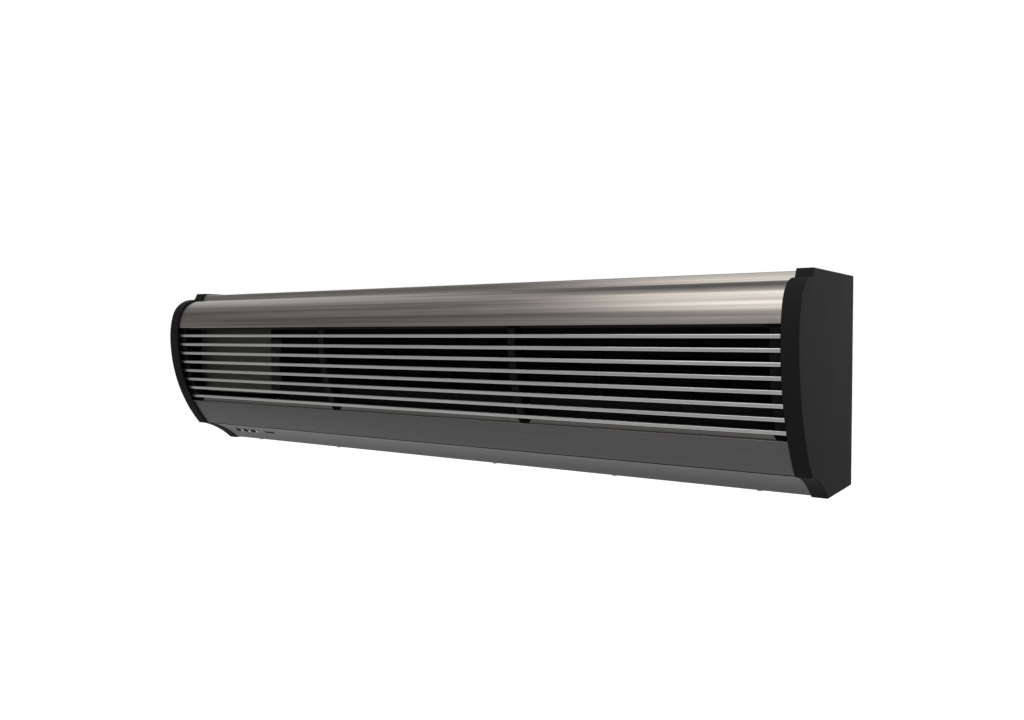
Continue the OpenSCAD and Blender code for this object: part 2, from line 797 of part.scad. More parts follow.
// A comb that holds the slats, its foot clipped over the rail and its head over the cover's strip
module grille_rib(x) color([0.1, 0.1, 0.1]) {
    strip_room = skin_t + 2 * fit;
    difference() {
        across(x - rib_w / 2, x + rib_w / 2) intersection() {
            shell(rib_front, rib_d);
            band(rail_v + skin_t + fit, cover_v - fit);
        }
        across(x - rib_w, x + rib_w) {
            for (k = [1:slat_count]) slat_section(k, fit / 2);
            translate([rail_u - skin_t - fit, 0]) square([body_d, rail_top + fit]);
            translate([strip_u - skin_t - fit, cover_v - strip_h - fit]) square([body_d, body_h]);
        }
    }
    clip(x, rail_u, rail_v + tab_low, rail_top + tab_up, foot_low_w, foot_w) {
        translate([rail_u - skin_t - fit, 0]) square([strip_room, rail_top + fit]);
        square([rail_u, rail_v + skin_t + fit]);
    }
    clip(x, strip_u, head_v, cover_v - fit, head_low_w, head_w)
        translate([strip_u - skin_t - fit, cover_v - strip_h - fit]) square([strip_room, body_h]);
}

// ---- Fan ----

// One blade, a thin arc that leans forward as it goes out
module blade() {
    reach = ring_d - blade_edge;
    bend_c = [(wheel_r + ring_r) / 2, -reach * blade_lean];
    intersection() {
        difference() {
            translate(bend_c) circle(reach * blade_bend + blade_t / 2);
            translate(bend_c) circle(reach * blade_bend - blade_t / 2);
        }
        difference() {
            circle(wheel_r - blade_edge);
            circle(ring_r + blade_edge / 2);
        }
        translate([ring_r - cut, -reach / 2]) square([reach + 2 * cut + blade_edge, reach * 2]);
    }
}
module fan_wheel() color([0.12, 0.12, 0.13]) {
    step = (wheel_to - wheel_from - disc_t) / sections;
    for (s = [0:sections]) axle(fan_c, wheel_from + s * step) linear_extrude(disc_t) difference() {
        circle(wheel_r);
        circle(s == 0 ? hub_r + fit / 2 : s == sections ? stub_boss_r + fit / 2 : ring_r - ring_lip);
    }
    for (s = [0:sections - 1])
        axle(fan_c, wheel_from + s * step + disc_t - eps) linear_extrude(step - disc_t + 2 * eps)
            for (b = [1:blade_count]) rotate(b * 360 / blade_count) blade();
}

// Rubber hub that grips the motor shaft and snaps into the wheel's first disc
module drive_hub() color([0.1, 0.1, 0.1]) axle(fan_c, wheel_from - hub_lip_t - fit) difference() {
    union() {
        cylinder(r = hub_r, h = hub_l);
        cylinder(r = hub_r + hub_lip, h = hub_lip_t);
        translate([0, 0, hub_lip_t + 2 * fit + disc_t]) cylinder(r = hub_r + hub_snap, h = hub_lip_t);
    }
    translate([0, 0, -cut]) cylinder(r = shaft_r, h = hub_l + 2 * cut);
}

// Stub shaft whose flange bears on the wheel's last disc
module stub_shaft() color("silver") axle(fan_c, wheel_to - stub_boss_l) {
    cylinder(r = stub_boss_r, h = stub_boss_l);
    translate([0, 0, stub_boss_l - disc_t - fit - stub_flange_t])
        cylinder(r = stub_flange_r, h = stub_flange_t);
    cylinder(r = shaft_r, h = x_plate - bush_in + bush_l + boss_end - wheel_to + stub_boss_l);
}
module bearing_rubber() color([0.1, 0.1, 0.1]) axle(fan_c, x_plate - seat_lip_t - fit) difference() {
    length = sheet_t + 2 * seat_lip_t + 2 * fit;
    union() {
        cylinder(r = bearing_seat, h = length);
        for (z = [0, length - seat_lip_t]) translate([0, 0, z])
            cylinder(r = bearing_seat + seat_lip, h = seat_lip_t);
    }
    translate([0, 0, -cut]) cylinder(r = bush_out + fit / 2, h = length + 2 * cut);
}
module bearing_bush() color("peru") axle(fan_c, x_plate - bush_in) difference() {
    cylinder(r = bush_out, h = bush_l);
    translate([0, 0, -cut]) cylinder(r = shaft_r + run, h = bush_l + 2 * cut);
}

// ---- Motor ----

module motor_shaft() color("silver") axle(fan_c, motor_from - motor_boss_l - shaft_out)
    cylinder(r = shaft_r, h = wheel_from + hub_l - shaft_in - motor_from + motor_boss_l + shaft_out);
module motor_rotor() color("silver") axle(fan_c, motor_mid - core_l / 2) difference() {
    union() {
        cylinder(r = rotor_r, h = core_l);
        translate([0, 0, -rotor_ring_l]) cylinder(r = rotor_r - rotor_ring_in, h = core_l + 2 * rotor_ring_l);
    }
    translate([0, 0, -core_l]) cylinder(r = shaft_r, h = 3 * core_l);
}
module motor_stator() color("peru") axle(fan_c, motor_mid - core_l / 2) difference() {
    union() {
        cylinder(r = motor_r - can_t - fit / 2, h = core_l);
        translate([0, 0, -winding_l]) cylinder(r = motor_r - winding_in, h = core_l + 2 * winding_l);
    }
    translate([0, 0, -core_l]) cylinder(r = rotor_r + 3 * fit, h = 3 * core_l);
}
module motor_can() color("dimgray") axle(fan_c, motor_from) difference() {
    cylinder(r = motor_r, h = motor_l);
    translate([0, 0, -cut]) cylinder(r = motor_r - can_t, h = motor_l + 2 * cut);
}

// End bell, drawn as [radius, depth into the can]: spigot, flange, dome, boss and bearing pocket
module motor_end() rotate_extrude() difference() {
    spigot_r = motor_r - can_t - fit / 2;
    union() {
        square([spigot_r, spigot_l]);
        translate([0, -end_t]) square([motor_r, end_t]);
        translate([0, -end_t - dome_l]) square([motor_r - dome_in, dome_l + eps]);
        translate([0, -motor_boss_l]) square([motor_boss_r, motor_boss_l]);
    }
    translate([0, -eps]) square([spigot_r - spigot_t, spigot_l + cut]);
    translate([0, -pocket]) square([motor_r - dome_in - end_t, pocket]);
    translate([0, -pocket - bearing_l]) square([bearing_r + run, bearing_l + cut]);
    translate([0, -motor_boss_l - cut]) square([shaft_r + boss_end, motor_boss_l]);
}
module motor_end_left() color("darkgray") axle(fan_c, motor_from) motor_end();
module motor_end_right() color("darkgray") axle(fan_c, motor_to) rotate([180, 0, 0]) motor_end();
module motor_bearings() color("silver")
    for (x = [motor_from - pocket - bearing_l, motor_to + pocket]) axle(fan_c, x) difference() {
        cylinder(r = bearing_r, h = bearing_l);
        translate([0, 0, -cut]) cylinder(r = shaft_r + run, h = bearing_l + 2 * cut);
    }
module motor_rubber_rings() color([0.1, 0.1, 0.1]) for (x = ring_x) axle(fan_c, x) difference() {
    cylinder(r = ring_rr, h = ring_l);
    translate([0, 0, -cut]) cylinder(r = motor_boss_r + fit / 2, h = ring_l + 2 * cut);
}

// Bracket with two cradles, and the clamps that close them round the rubber rings
module ring_bores() for (x = ring_x)
    axle(fan_c, x - cut) cylinder(r = ring_rr + fit / 2, h = ring_l + 2 * cut);
module at_clamps(u) for (x = ring_x, s = [-1, 1])
    at_wall([x + ring_l / 2, fan_v + s * (ring_rr + clamp_out)], u) children();
module arms() for (x = ring_x) across(x + (ring_l - arm_t) / 2, x + (ring_l + arm_t) / 2) children();
module motor_bracket() color("gainsboro") difference() {
    union() {
        across(ring_x[0], ring_x[1] + ring_l)
            translate([web_in, fan_v - base_h / 2]) square([base_t, base_h]);
        arms() translate([web_in + eps, fan_v - cradle_r])
            square([fan_u - web_in - fit, 2 * cradle_r]);
    }
    ring_bores();
    at_clamps(fan_u + clamp_face) hole(clamp_screw_r + run, clamp_screw_l + cut);
    base_screw_holes(screw_r + fit);
}
module motor_clamps() color("gainsboro") difference() {
    arms() intersection() {
        translate(fan_c) circle(cradle_r);
        translate([fan_u, 0]) square(body_h);
    }
    ring_bores();
    at_clamps(fan_u + clamp_face) {
        hole(clamp_screw_r + fit, clamp_screw_l);
        from_room() cylinder(r = clamp_head_r + clamp_head_room, h = cradle_r);
    }
}

// ---- Outlet ----

// A flat blade with round edges and a round spine, on a pin at each end
module guide_vane() color("silver") {
    edge = (vane_h - vane_t) / 2;
    across(vane_from, vane_to) {
        translate([vane_u - vane_t / 2, vane_v - edge]) square([vane_t, 2 * edge]);
        for (s = [-1, 1]) translate([vane_u, vane_v + s * edge]) circle(vane_t / 2);
        translate(vane_c) circle(spine_r);
    }
    for (x = [vane_from - pin_l + eps, vane_to - eps]) axle(vane_c, x) cylinder(r = pin_r, h = pin_l);
}
module vane_bushes() color("white") for (side = [-1, 1]) {
    x = side < 0 ? x_split + sheet_t : x_plate;
    axle(vane_c, x) rotate([0, side < 0 ? 180 : 0, 0]) difference() {
        union() {
            translate([0, 0, -bush_proud]) cylinder(r = bush_r, h = sheet_t + 2 * bush_proud);
            translate([0, 0, -bush_proud]) cylinder(r = bush_r + bush_lip, h = bush_lip_t);
        }
        translate([0, 0, -pin_l]) cylinder(r = pin_r + run, h = 2 * pin_l);
    }
}

// ---- Controls ----

module button(k) color([0.1, 0.1, 0.1]) on_cove(ctl_x + (k - 1) * button_pitch) {
    lip_z = flange_z - button_lip_t;
    translate([0, 0, flange_z - eps]) cylinder(r = button_r, h = button_out - flange_z + eps);
    translate([0, 0, lip_z]) cylinder(r = button_r + button_lip, h = button_lip_t);
    translate([0, 0, stem_z]) cylinder(r = stem_r, h = lip_z - stem_z + eps);
}
module indicator_leds() color("white") on_cove(led_x, button_count) {
    translate([0, 0, board_z]) cylinder(r = led_r, h = -board_z);
    intersection() {
        sphere(r = led_r);
        translate([0, 0, 2 * led_r]) cube(4 * led_r, center = true);
    }
}

// A plate of the given size whose back lies at z
module plate(size, z) translate([-size[0] / 2, -size[1] / 2, z]) cube(size);
module receiver_window() color([0.05, 0.05, 0.05]) on_cove(window_x) {
    back = -skin_t - fit - lens_t;
    plate([window_l, window_h, -back], back);
    plate([window_l + 2 * window_rim[0], window_h + 2 * window_rim[1], lens_t], back);
}
module board_corners() for (sx = [-1, 1], sy = [-1, 1])
    translate([sx * (board_w / 2 - spacer_in), sy * (board_d / 2 - spacer_in), board_z]) children();
module control_board() color("darkgreen") {
    on_cove(board_x) difference() {
        plate([board_w, board_d, board_t], board_z - board_t);
        board_corners() hole(peg_r + run, 2 * board_t);
    }
    on_cove(ctl_x, button_count) {
        plate([switch_w, switch_w, switch_h], board_z - eps);
        translate([0, 0, board_z]) cylinder(r = knob_r, h = switch_top - board_z);
    }
    on_cove(window_x) plate(sensor, board_z - eps);
    on_cove(relay_x) plate(relay, relay_back + eps);
}
module board_spacers() color("white") on_cove(board_x) board_corners() {
    cylinder(r = spacer_r, h = -board_z - skin_t);
    translate([0, 0, -board_t - peg_l]) cylinder(r = peg_r, h = board_t + peg_l + eps);
    translate([0, 0, -board_t - peg_l]) cylinder(r = peg_r + peg_snap, h = peg_snap_l);
}

// ---- Wiring ----

module terminal_block() color("white") translate([block_x, -web_in, block_v]) difference() {
    union() {
        translate([0, -block[1], 0]) cube(block);
        translate([0, eps - block[1] - block_front[1], block_step]) cube(block_front);
    }
    for (i = [0.5:ways]) translate([i * way_pitch, -block[1] - block_front[1], block[2] / 2])
        rotate([90, 0, 0]) hole(way_r, way_l);
    for (x = block_screw_x) translate([x - block_x, 0, block_screw_v])
        rotate([90, 0, 0]) hole(screw_r + fit, block_screw_l);
}
module run_capacitor() color("whitesmoke") difference() {
    union() {
        translate([cap_x, -web_in - capacitor[1], cap_v]) cube(capacitor);
        translate([cap_x + capacitor[0] - eps, -web_in - lug[2], lug_c[1] - lug[1] / 2])
            cube([lug[0] + eps, lug[2], lug[1]]);
    }
    at_wall(lug_c, web_in) hole(screw_r + fit, 2 * lug[2]);
}

// Round loom along a path of [x, u, v] points
function as_xyz(p) = [p[0], -p[1], p[2]];
module loom(path) {
    for (i = [0:len(path) - 2]) {
        from = as_xyz(path[i]);
        run_to = as_xyz(path[i + 1]) - from;
        translate(from) rotate([0, acos(run_to[2] / norm(run_to)), atan2(run_to[1], run_to[0])])
            cylinder(r = wire_r, h = norm(run_to));
    }
    for (i = [1:len(path) - 2]) translate(as_xyz(path[i])) sphere(r = wire_joint_r);
}
module wire_loom() color("gray") {
    loom([[wire_in_x, wire_up_u, block_v + block[2] + fit], [wire_in_x, wire_up_u, wire_mid_v],
        [wire_side_x, wire_up_u, wire_mid_v], [wire_side_x, wire_up_u, cap_v - wire_clear],
        [wire_cap_x, wire_up_u, cap_v - wire_clear], [wire_cap_x, wire_up_u, cap_v - fit]]);
    loom([[wire_out_x, wire_up_u, block_v - fit], [wire_out_x, wire_up_u, block_v - wire_clear],
        [wire_out_x, wire_out_u, block_v - wire_clear],
        concat([relay_x], ctl_at(relay_back - wire_clear)), concat([relay_x], ctl_at(relay_back - fit))]);
}
module cable_grommet() color([0.08, 0.08, 0.08])
    at_wall([grommet_x, grommet_v], web_in + grommet_lip_t + fit / 2) difference() {
        length = sheet_t + 2 * grommet_lip_t + fit;
        union() {
            cylinder(r = grommet_r - fit / 2, h = length);
            for (z = [0, length - grommet_lip_t]) translate([0, 0, z])
                cylinder(r = grommet_r + grommet_lip, h = grommet_lip_t);
        }
        hole(cable_r, 2 * length);
    }

// ---- Fasteners ----

module from_room() rotate([180, 0, 0]) children();
module cover_screws() color("silver") for (x = cover_screw_x)
    translate([x, -cover_screw_u, body_h - rim_t]) screw(screw_r, cover_screw_l);
module cap_screws() color("silver") for (c = cap_boss_at) {
    axle(c, x_plate) from_room() screw(cap_screw_r, x_wall - x_plate - cap_screw_end);
    axle(c, -x_plate) screw(cap_screw_r, x_wall - x_plate - cap_screw_end);
}
module sheet_screws() color("silver") {
    for (x = block_screw_x) at_wall([x, block_v + block_screw_v], web_in + block[1])
        from_room() screw(screw_r, block_screw_l, block_screw_head);
    at_wall(lug_c, web_in + lug[2]) from_room() screw(screw_r, sheet_screw_l);
    for (c = tab_screw_at) at_wall(c, web_u) screw(screw_r, sheet_screw_l);
    for (c = flange_screw_at) {
        axle(c, -x_plate + fit + sheet_t) screw(screw_r, sheet_screw_l);
        axle(c, x_split - fit - sheet_t) from_room() screw(screw_r, sheet_screw_l);
    }
}
module panel_screws() color("silver") for (x = panel_screw_x) {
    translate([x, -cove_screw_u, under_t]) from_room()
        screw(screw_r, sheet_screw_l, panel_screw_head[0], panel_screw_head[1]);
    translate([x, -panel_screw_u, rail_v - fit - skin_t]) from_room() screw(screw_r, sheet_screw_l);
}
module motor_screws() color("silver") {
    for (x = base_screw_x, v = base_screw_v)
        at_wall([x, v], web_in + base_t) from_room() screw(screw_r, sheet_screw_l);
    at_clamps(fan_u + clamp_face + fit + seat_room) from_room()
        screw(clamp_screw_r, clamp_screw_l, clamp_head_r, clamp_head_l);
}

// Lifts the sections so that the bolt holes' centre lies at the origin
module placed() translate([0, 0, -plate_v]) children();

placed() wall_plate();
placed() rear_chassis();
placed() end_plate_left();
placed() end_plate_right();
placed() partition_plate();
placed() compartment_cover();
placed() compartment_floor();
placed() scroll_casing();
placed() scroll_tongue();
placed() end_cap_left();
placed() end_cap_right();
placed() top_cover();
placed() lower_front_panel();
placed() cove_panel();
placed() bottom_rail();
placed() grille_slat(1);  // grille_slat_1
placed() grille_slat(2);  // grille_slat_2
placed() grille_slat(3);  // grille_slat_3
placed() grille_slat(4);  // grille_slat_4
placed() grille_slat(5);  // grille_slat_5
placed() grille_slat(6);  // grille_slat_6
placed() grille_slat(7);  // grille_slat_7
placed() grille_slat(8);  // grille_slat_8
placed() grille_rib(rib_x[0]);  // grille_rib_1
placed() grille_rib(rib_x[1]);  // grille_rib_2
placed() grille_rib(rib_x[2]);  // grille_rib_3
placed() grille_rib(rib_x[3]);  // grille_rib_4
placed() fan_wheel();
placed() drive_hub();
placed() stub_shaft();
placed() bearing_rubber();
placed() bearing_bush();
placed() motor_shaft();
placed() motor_rotor();
placed() motor_stator();
placed() motor_can();
placed() motor_end_left();
placed() motor_end_right();
placed() motor_bearings();
placed() motor_rubber_rings();
placed() motor_bracket();
placed() motor_clamps();
placed() guide_vane();
placed() vane_bushes();
placed() button(1);  // button_1
placed() button(2);  // button_2
placed() button(3);  // button_3
placed() indicator_leds();
placed() receiver_window();
placed() control_board();
placed() board_spacers();
placed() terminal_block();
placed() run_capacitor();
placed() wire_loom();
placed() cable_grommet();
placed() cover_screws();
placed() cap_screws();
placed() sheet_screws();
placed() panel_screws();
placed() motor_screws();
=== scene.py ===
import math
import bpy
from mathutils import Matrix, Vector


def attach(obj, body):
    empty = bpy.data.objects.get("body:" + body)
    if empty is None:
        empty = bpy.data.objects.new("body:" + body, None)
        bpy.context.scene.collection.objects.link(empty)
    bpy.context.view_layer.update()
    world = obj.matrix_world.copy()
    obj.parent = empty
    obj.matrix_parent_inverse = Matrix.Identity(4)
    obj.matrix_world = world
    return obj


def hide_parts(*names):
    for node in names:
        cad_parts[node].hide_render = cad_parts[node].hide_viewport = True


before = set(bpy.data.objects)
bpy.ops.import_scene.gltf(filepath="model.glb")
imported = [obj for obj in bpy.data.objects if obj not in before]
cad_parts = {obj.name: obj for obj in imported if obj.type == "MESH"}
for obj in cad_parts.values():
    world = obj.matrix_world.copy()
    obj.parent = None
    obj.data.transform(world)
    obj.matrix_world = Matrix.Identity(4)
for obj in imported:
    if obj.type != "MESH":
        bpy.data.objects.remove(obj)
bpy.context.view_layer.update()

mm = 0.001
nearby = 0.1 * mm       # a vertex this near a face counts as on it
weld = 0.001 * mm       # vertices this near each other are one
foldAngle, cornerAngle = math.radians(30), math.radians(60)     # sharper edges than these are folds and corners
sheetSmooth, mouldSmooth = 40, 35       # edges with less of a turn than this many degrees look round

# Outline of the body, in mm: u runs out from the wall, v up from the underside
body = {
    "width": 900, "height": 219, "depth": 194, "plateV": 130,
    "stepBack": 46, "stepH": 9, "stepRun": 5, "noseR": 34, "frontR": 107, "noseDrop": 64, "lipBack": 47,
    "lipV": 27, "ledge": 4, "toeBack": 102, "coveSag": 3.5,
    "capW": 16.5, "capWall": 3, "rimT": 2.5, "underT": 1.2, "skinT": 1.5, "fit": 0.2,
}
# how many flat strips stand for each curve
strips = {
    "nose": 24, "front": 16, "longFront": 20, "belly": 36, "lowerFront": 24, "coveFront": 12, "cove": 14,
    "capCove": 20, "slatEdge": 6, "disc": 48, "fold": 5, "edge": 2, "capEdge": 3, "buttonEdge": 4, "windowEdge": 3,
}
xEnd = body["width"] / 2
xRim = xEnd - body["capW"]
xSkin = xEnd - body["capWall"] - body["fit"]
panelIn = body["rimT"]          # how far the panels lie behind the caps' rims
shoulderV = body["height"] - body["stepH"]
bellyV = body["height"] - body["noseDrop"]
stepU = body["depth"] - body["stepBack"]
toeU = body["depth"] - body["toeBack"]
bellyR = (body["lipBack"] ** 2 + (bellyV - body["lipV"]) ** 2) / (2 * body["lipBack"])
bellyC = (body["depth"] - bellyR, bellyV)
frontC = (body["depth"] - body["frontR"], bellyV)
noseRise = shoulderV - body["noseR"] - bellyV
noseC = (frontC[0] + math.sqrt((body["frontR"] - body["noseR"]) ** 2 - noseRise ** 2), bellyV + noseRise)


def frontU(v, inset=0.0):
    # how far out the rounded front stands at height v, or a line inset mm inside it
    centre, radius = (frontC, body["frontR"]) if v >= bellyV else (bellyC, bellyR)
    return centre[0] + math.sqrt((radius - inset) ** 2 - (v - bellyV) ** 2)


def stepFace(v, inset=0.0):
    # the same for the leaning face of the step behind the rounded front
    lean = body["stepRun"] / body["stepH"]
    return stepU + lean * (body["height"] - v) - inset * math.hypot(1, lean)


# the hollow under the lip is one shallow arc, from the ledge behind the lip to the toe
lipU = frontU(body["lipV"])
coveFrom = (lipU - body["ledge"], body["lipV"])
coveTo = (toeU, 0)
coveChord = math.dist(coveFrom, coveTo)
coveR = coveChord ** 2 / (8 * body["coveSag"]) + body["coveSag"] / 2
coveOut = ((coveFrom[1] - coveTo[1]) / coveChord, (coveTo[0] - coveFrom[0]) / coveChord)
coveC = tuple((a + b) / 2 + o * (coveR - body["coveSag"]) for a, b, o in zip(coveFrom, coveTo, coveOut))


def toFrame(x, u, v):
    return Vector((x, -u, v - body["plateV"])) * mm


def onCircle(centre, radius, degrees):
    a = math.radians(degrees)
    return (centre[0] + radius * math.cos(a), centre[1] + radius * math.sin(a))


def angleOf(centre, point):
    return math.degrees(math.atan2(point[1] - centre[1], point[0] - centre[0]))


# Modelling helpers

def editMode(on):
    bpy.ops.object.mode_set(mode="EDIT" if on else "OBJECT")


def pick(obj, test, kind="VERT"):
    # selects the vertices, edges or faces that pass the test, and leaves the object in edit mode
    editMode(True)
    bpy.ops.mesh.select_mode(type=kind)
    bpy.ops.mesh.select_all(action="DESELECT")
    editMode(False)
    items = {"VERT": obj.data.vertices, "EDGE": obj.data.edges, "FACE": obj.data.polygons}[kind]
    for item in items:
        item.select = test(item)
    editMode(True)


def modify(obj, kind, **settings):
    change = obj.modifiers.new(kind, kind)
    for key, value in settings.items():
        setattr(change, key, value)
    bpy.ops.object.select_all(action="DESELECT")
    obj.select_set(True)
    bpy.context.view_layer.objects.active = obj
    bpy.ops.object.modifier_apply(modifier=change.name)


def smooth(obj, degrees):
    bpy.ops.object.select_all(action="DESELECT")
    obj.select_set(True)
    bpy.context.view_layer.objects.active = obj
    bpy.ops.object.shade_smooth_by_angle(angle=math.radians(degrees))
    modify(obj, "WEIGHTED_NORMAL", keep_sharp=True, weight=80)


def placed(name):
    # the primitive just added: named, and its place put into its mesh
    obj = bpy.context.object
    obj.name = name
    bpy.ops.object.transform_apply(location=True, rotation=True, scale=True)
    return obj


def sweep(name, xFrom, xTo, start, steps, facing=(0, 0, 1)):
    # of a plane 1 mm deep only the edge at the start is kept, and it is drawn along a section: straight by
    # extruding, round by spinning
    bpy.ops.object.select_all(action="DESELECT")
    bpy.ops.mesh.primitive_plane_add(size=mm, location=toFrame((xFrom + xTo) / 2, start[0] - 0.5, start[1]))
    bpy.context.object.scale = (xTo - xFrom, 1, 1)
    strip = placed(name)
    back = max(v.co.y for v in strip.data.vertices)
    pick(strip, lambda v: v.co.y > back - nearby)
    bpy.ops.mesh.delete(type="VERT")
    bpy.ops.mesh.select_all(action="SELECT")
    at = start
    for step in steps:
        if step[0] == "line":
            shift = toFrame(0, *step[1]) - toFrame(0, *at)
            bpy.ops.mesh.extrude_region_move(TRANSFORM_OT_translate={"value": shift})
            at = step[1]
        else:
            centre, turn, parts = step[1:]
            bpy.ops.mesh.spin(steps=parts, angle=math.radians(turn), center=toFrame(0, *centre), axis=(1, 0, 0))
            at = onCircle(centre, math.dist(centre, at), angleOf(centre, at) + turn)
    bpy.ops.mesh.select_all(action="SELECT")
    bpy.ops.mesh.remove_doubles(threshold=weld)
    bpy.ops.mesh.normals_make_consistent(inside=False)
    editMode(False)
    middle = (toFrame(0, *start) + toFrame(0, *firstPoint(start, steps[0]))) / 2
    first = min(strip.data.polygons, key=lambda face: (face.center - middle).length)
    if first.normal.dot(Vector(facing)) < 0:
        editMode(True)
        bpy.ops.mesh.select_all(action="SELECT")
        bpy.ops.mesh.flip_normals()
        editMode(False)
    return strip


def roundOff(obj, radius, segments, angle=cornerAngle):
    modify(obj, "BEVEL", width=radius * mm, segments=segments, limit_method="ANGLE", angle_limit=angle)


def foldedSheet(strip, bendR, edgeR, cutters=()):
    # rounds the folds, gives the sheet its thickness inwards, breaks its cut edges and punches its openings
    roundOff(strip, bendR, strips["fold"], foldAngle)
    modify(strip, "SOLIDIFY", thickness=body["skinT"] * mm, offset=-1, use_even_offset=True)
    roundOff(strip, edgeR, strips["edge"])
    for cutter in cutters:
        modify(strip, "BOOLEAN", object=cutter, operation="DIFFERENCE", solver="EXACT")
        bpy.data.objects.remove(cutter)
    smooth(strip, sheetSmooth)


def dress(obj, material, rides, node):
    # a finished piece: its material, the body it moves with and the node it stands for
    paint(obj, material)
    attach(obj, rides)
    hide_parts(node)


def firstPoint(start, step):
    # where the first strip of a step ends
    if step[0] == "line":
        return step[1]
    return onCircle(step[1], math.dist(step[1], start), angleOf(step[1], start) + step[2] / step[3])


def noseSteps(inset, downTo):
    # from the foot of the step round the upper front corner and down the front
    joint = angleOf(frontC, noseC)
    steps = [("line", (noseC[0], shoulderV - inset)), ("arc", noseC, joint - 90, strips["nose"])]
    if downTo >= bellyV:
        low = math.degrees(math.asin((downTo - bellyV) / (body["frontR"] - inset)))
        return steps + [("arc", frontC, low - joint, strips["front"])]
    low = math.degrees(math.asin((downTo - bellyV) / (bellyR - inset)))
    return steps + [("arc", frontC, -joint, strips["longFront"]), ("arc", bellyC, low, strips["belly"])]


def linear(hexColour):
    # sRGB hex to the linear values that a shader takes
    channels = [int(hexColour[i:i + 2], 16) / 255 for i in (1, 3, 5)]
    return [c / 12.92 if c <= 0.04045 else ((c + 0.055) / 1.055) ** 2.4 for c in channels] + [1.0]


def addNode(tree, kind, inputs=None, **settings):
    # one node, with its settings, fixed inputs and links: an input that is a socket is linked
    made = tree.nodes.new(kind)
    for key, value in settings.items():
        setattr(made, key, value)
    for key, value in (inputs or {}).items():
        if isinstance(value, bpy.types.NodeSocket):
            tree.links.new(value, made.inputs[key])
        else:
            made.inputs[key].default_value = value
    return made


def newMaterial(name):
    material = bpy.data.materials.new(name)
    material.use_nodes = True
    tree = material.node_tree
    for old in list(tree.nodes):
        tree.nodes.remove(old)
    return material, tree


def paint(obj, material):
    obj.data.materials.clear()
    obj.data.materials.append(material)


def paintPart(obj, material, test):
    # a second finish, on the faces that pass the test
    obj.data.materials.append(material)
    for face in obj.data.polygons:
        if test(face):
            face.material_index = 1


# Materials

# most of a noise texture's values, and the narrower part of them that gives clear bands
spread = {"From Min": 0.3, "From Max": 0.7}
bandSpread = {"From Min": 0.35, "From Max": 0.65}
# lengths in mm; tone, smoother and rougher are shares added to or taken from the even value
brushing = {"stroke": 60, "grain": 0.35, "tone": 0.07, "smoother": 0.05, "rougher": 0.07, "bump": 0.08, "deep": 0.1}
moulding = {"patch": 40, "tone": 0.15, "bump": 0.25}
crystals = {"cloud": 25, "tone": 0.12, "uneven": 0.06}


def brushedMetal(name, colour, roughness, brushAndReflectionTone, band=(500, 9)):
    # anodised aluminium brushed along its length: fine parallel lines that draw highlights out, and lengthwise bands in
    # its colour, band mm long and high: faint ones are brushing, strong ones are painted reflection, dark and light
    # streaks standing for the room mirrored in the metal
    material, tree = newMaterial(name)
    coords = addNode(tree, "ShaderNodeTexCoord")
    # a real brush leaves lines about 0.05 mm apart: these are drawn as coarse as they need to show
    lines = addNode(tree, "ShaderNodeMapping", {"Vector": coords.outputs["Object"],
        "Scale": (1 / (brushing["stroke"] * mm), 1 / (brushing["grain"] * mm), 1 / (brushing["grain"] * mm))})
    brush = addNode(tree, "ShaderNodeTexNoise", {"Vector": lines.outputs["Vector"], "Scale": 1.0, "Detail": 3.0})
    wide = addNode(tree, "ShaderNodeMapping", {"Vector": coords.outputs["Object"],
        "Scale": (1 / (band[0] * mm), 1 / (band[1] * mm), 1 / (band[1] * mm))})
    brushAndReflectionBands = addNode(tree, "ShaderNodeTexNoise", {"Vector": wide.outputs["Vector"], "Scale": 1.0, "Detail": 2.0})
    # the bands' share of the colour: brushing where the range is narrow, painted reflection where it is wide, as on the
    # cover
    tone = addNode(tree, "ShaderNodeMapRange", {"Value": brushAndReflectionBands.outputs["Fac"], **bandSpread,
        "To Min": brushAndReflectionTone[0], "To Max": brushAndReflectionTone[1]})
    fine = addNode(tree, "ShaderNodeMapRange", {"Value": brush.outputs["Fac"], **spread,
        "To Min": 1 - brushing["tone"], "To Max": 1 + brushing["tone"]})
    both = addNode(tree, "ShaderNodeMath", {0: tone.outputs["Result"], 1: fine.outputs["Result"]},
        operation="MULTIPLY")
    shade = addNode(tree, "ShaderNodeVectorMath", {0: linear(colour)[:3], "Scale": both.outputs["Value"]},
        operation="SCALE")
    rough = addNode(tree, "ShaderNodeMapRange", {"Value": brush.outputs["Fac"], **spread,
        "To Min": roughness - brushing["smoother"], "To Max": roughness + brushing["rougher"]})
    bump = addNode(tree, "ShaderNodeBump", {"Height": brush.outputs["Fac"], "Strength": brushing["bump"],
        "Distance": brushing["deep"] * mm})
    metal = addNode(tree, "ShaderNodeBsdfPrincipled", {"Base Color": shade.outputs["Vector"],
        "Roughness": rough.outputs["Result"], "Normal": bump.outputs["Normal"], "Metallic": 1.0})
    addNode(tree, "ShaderNodeOutputMaterial", {"Surface": metal.outputs["BSDF"]})
    return material


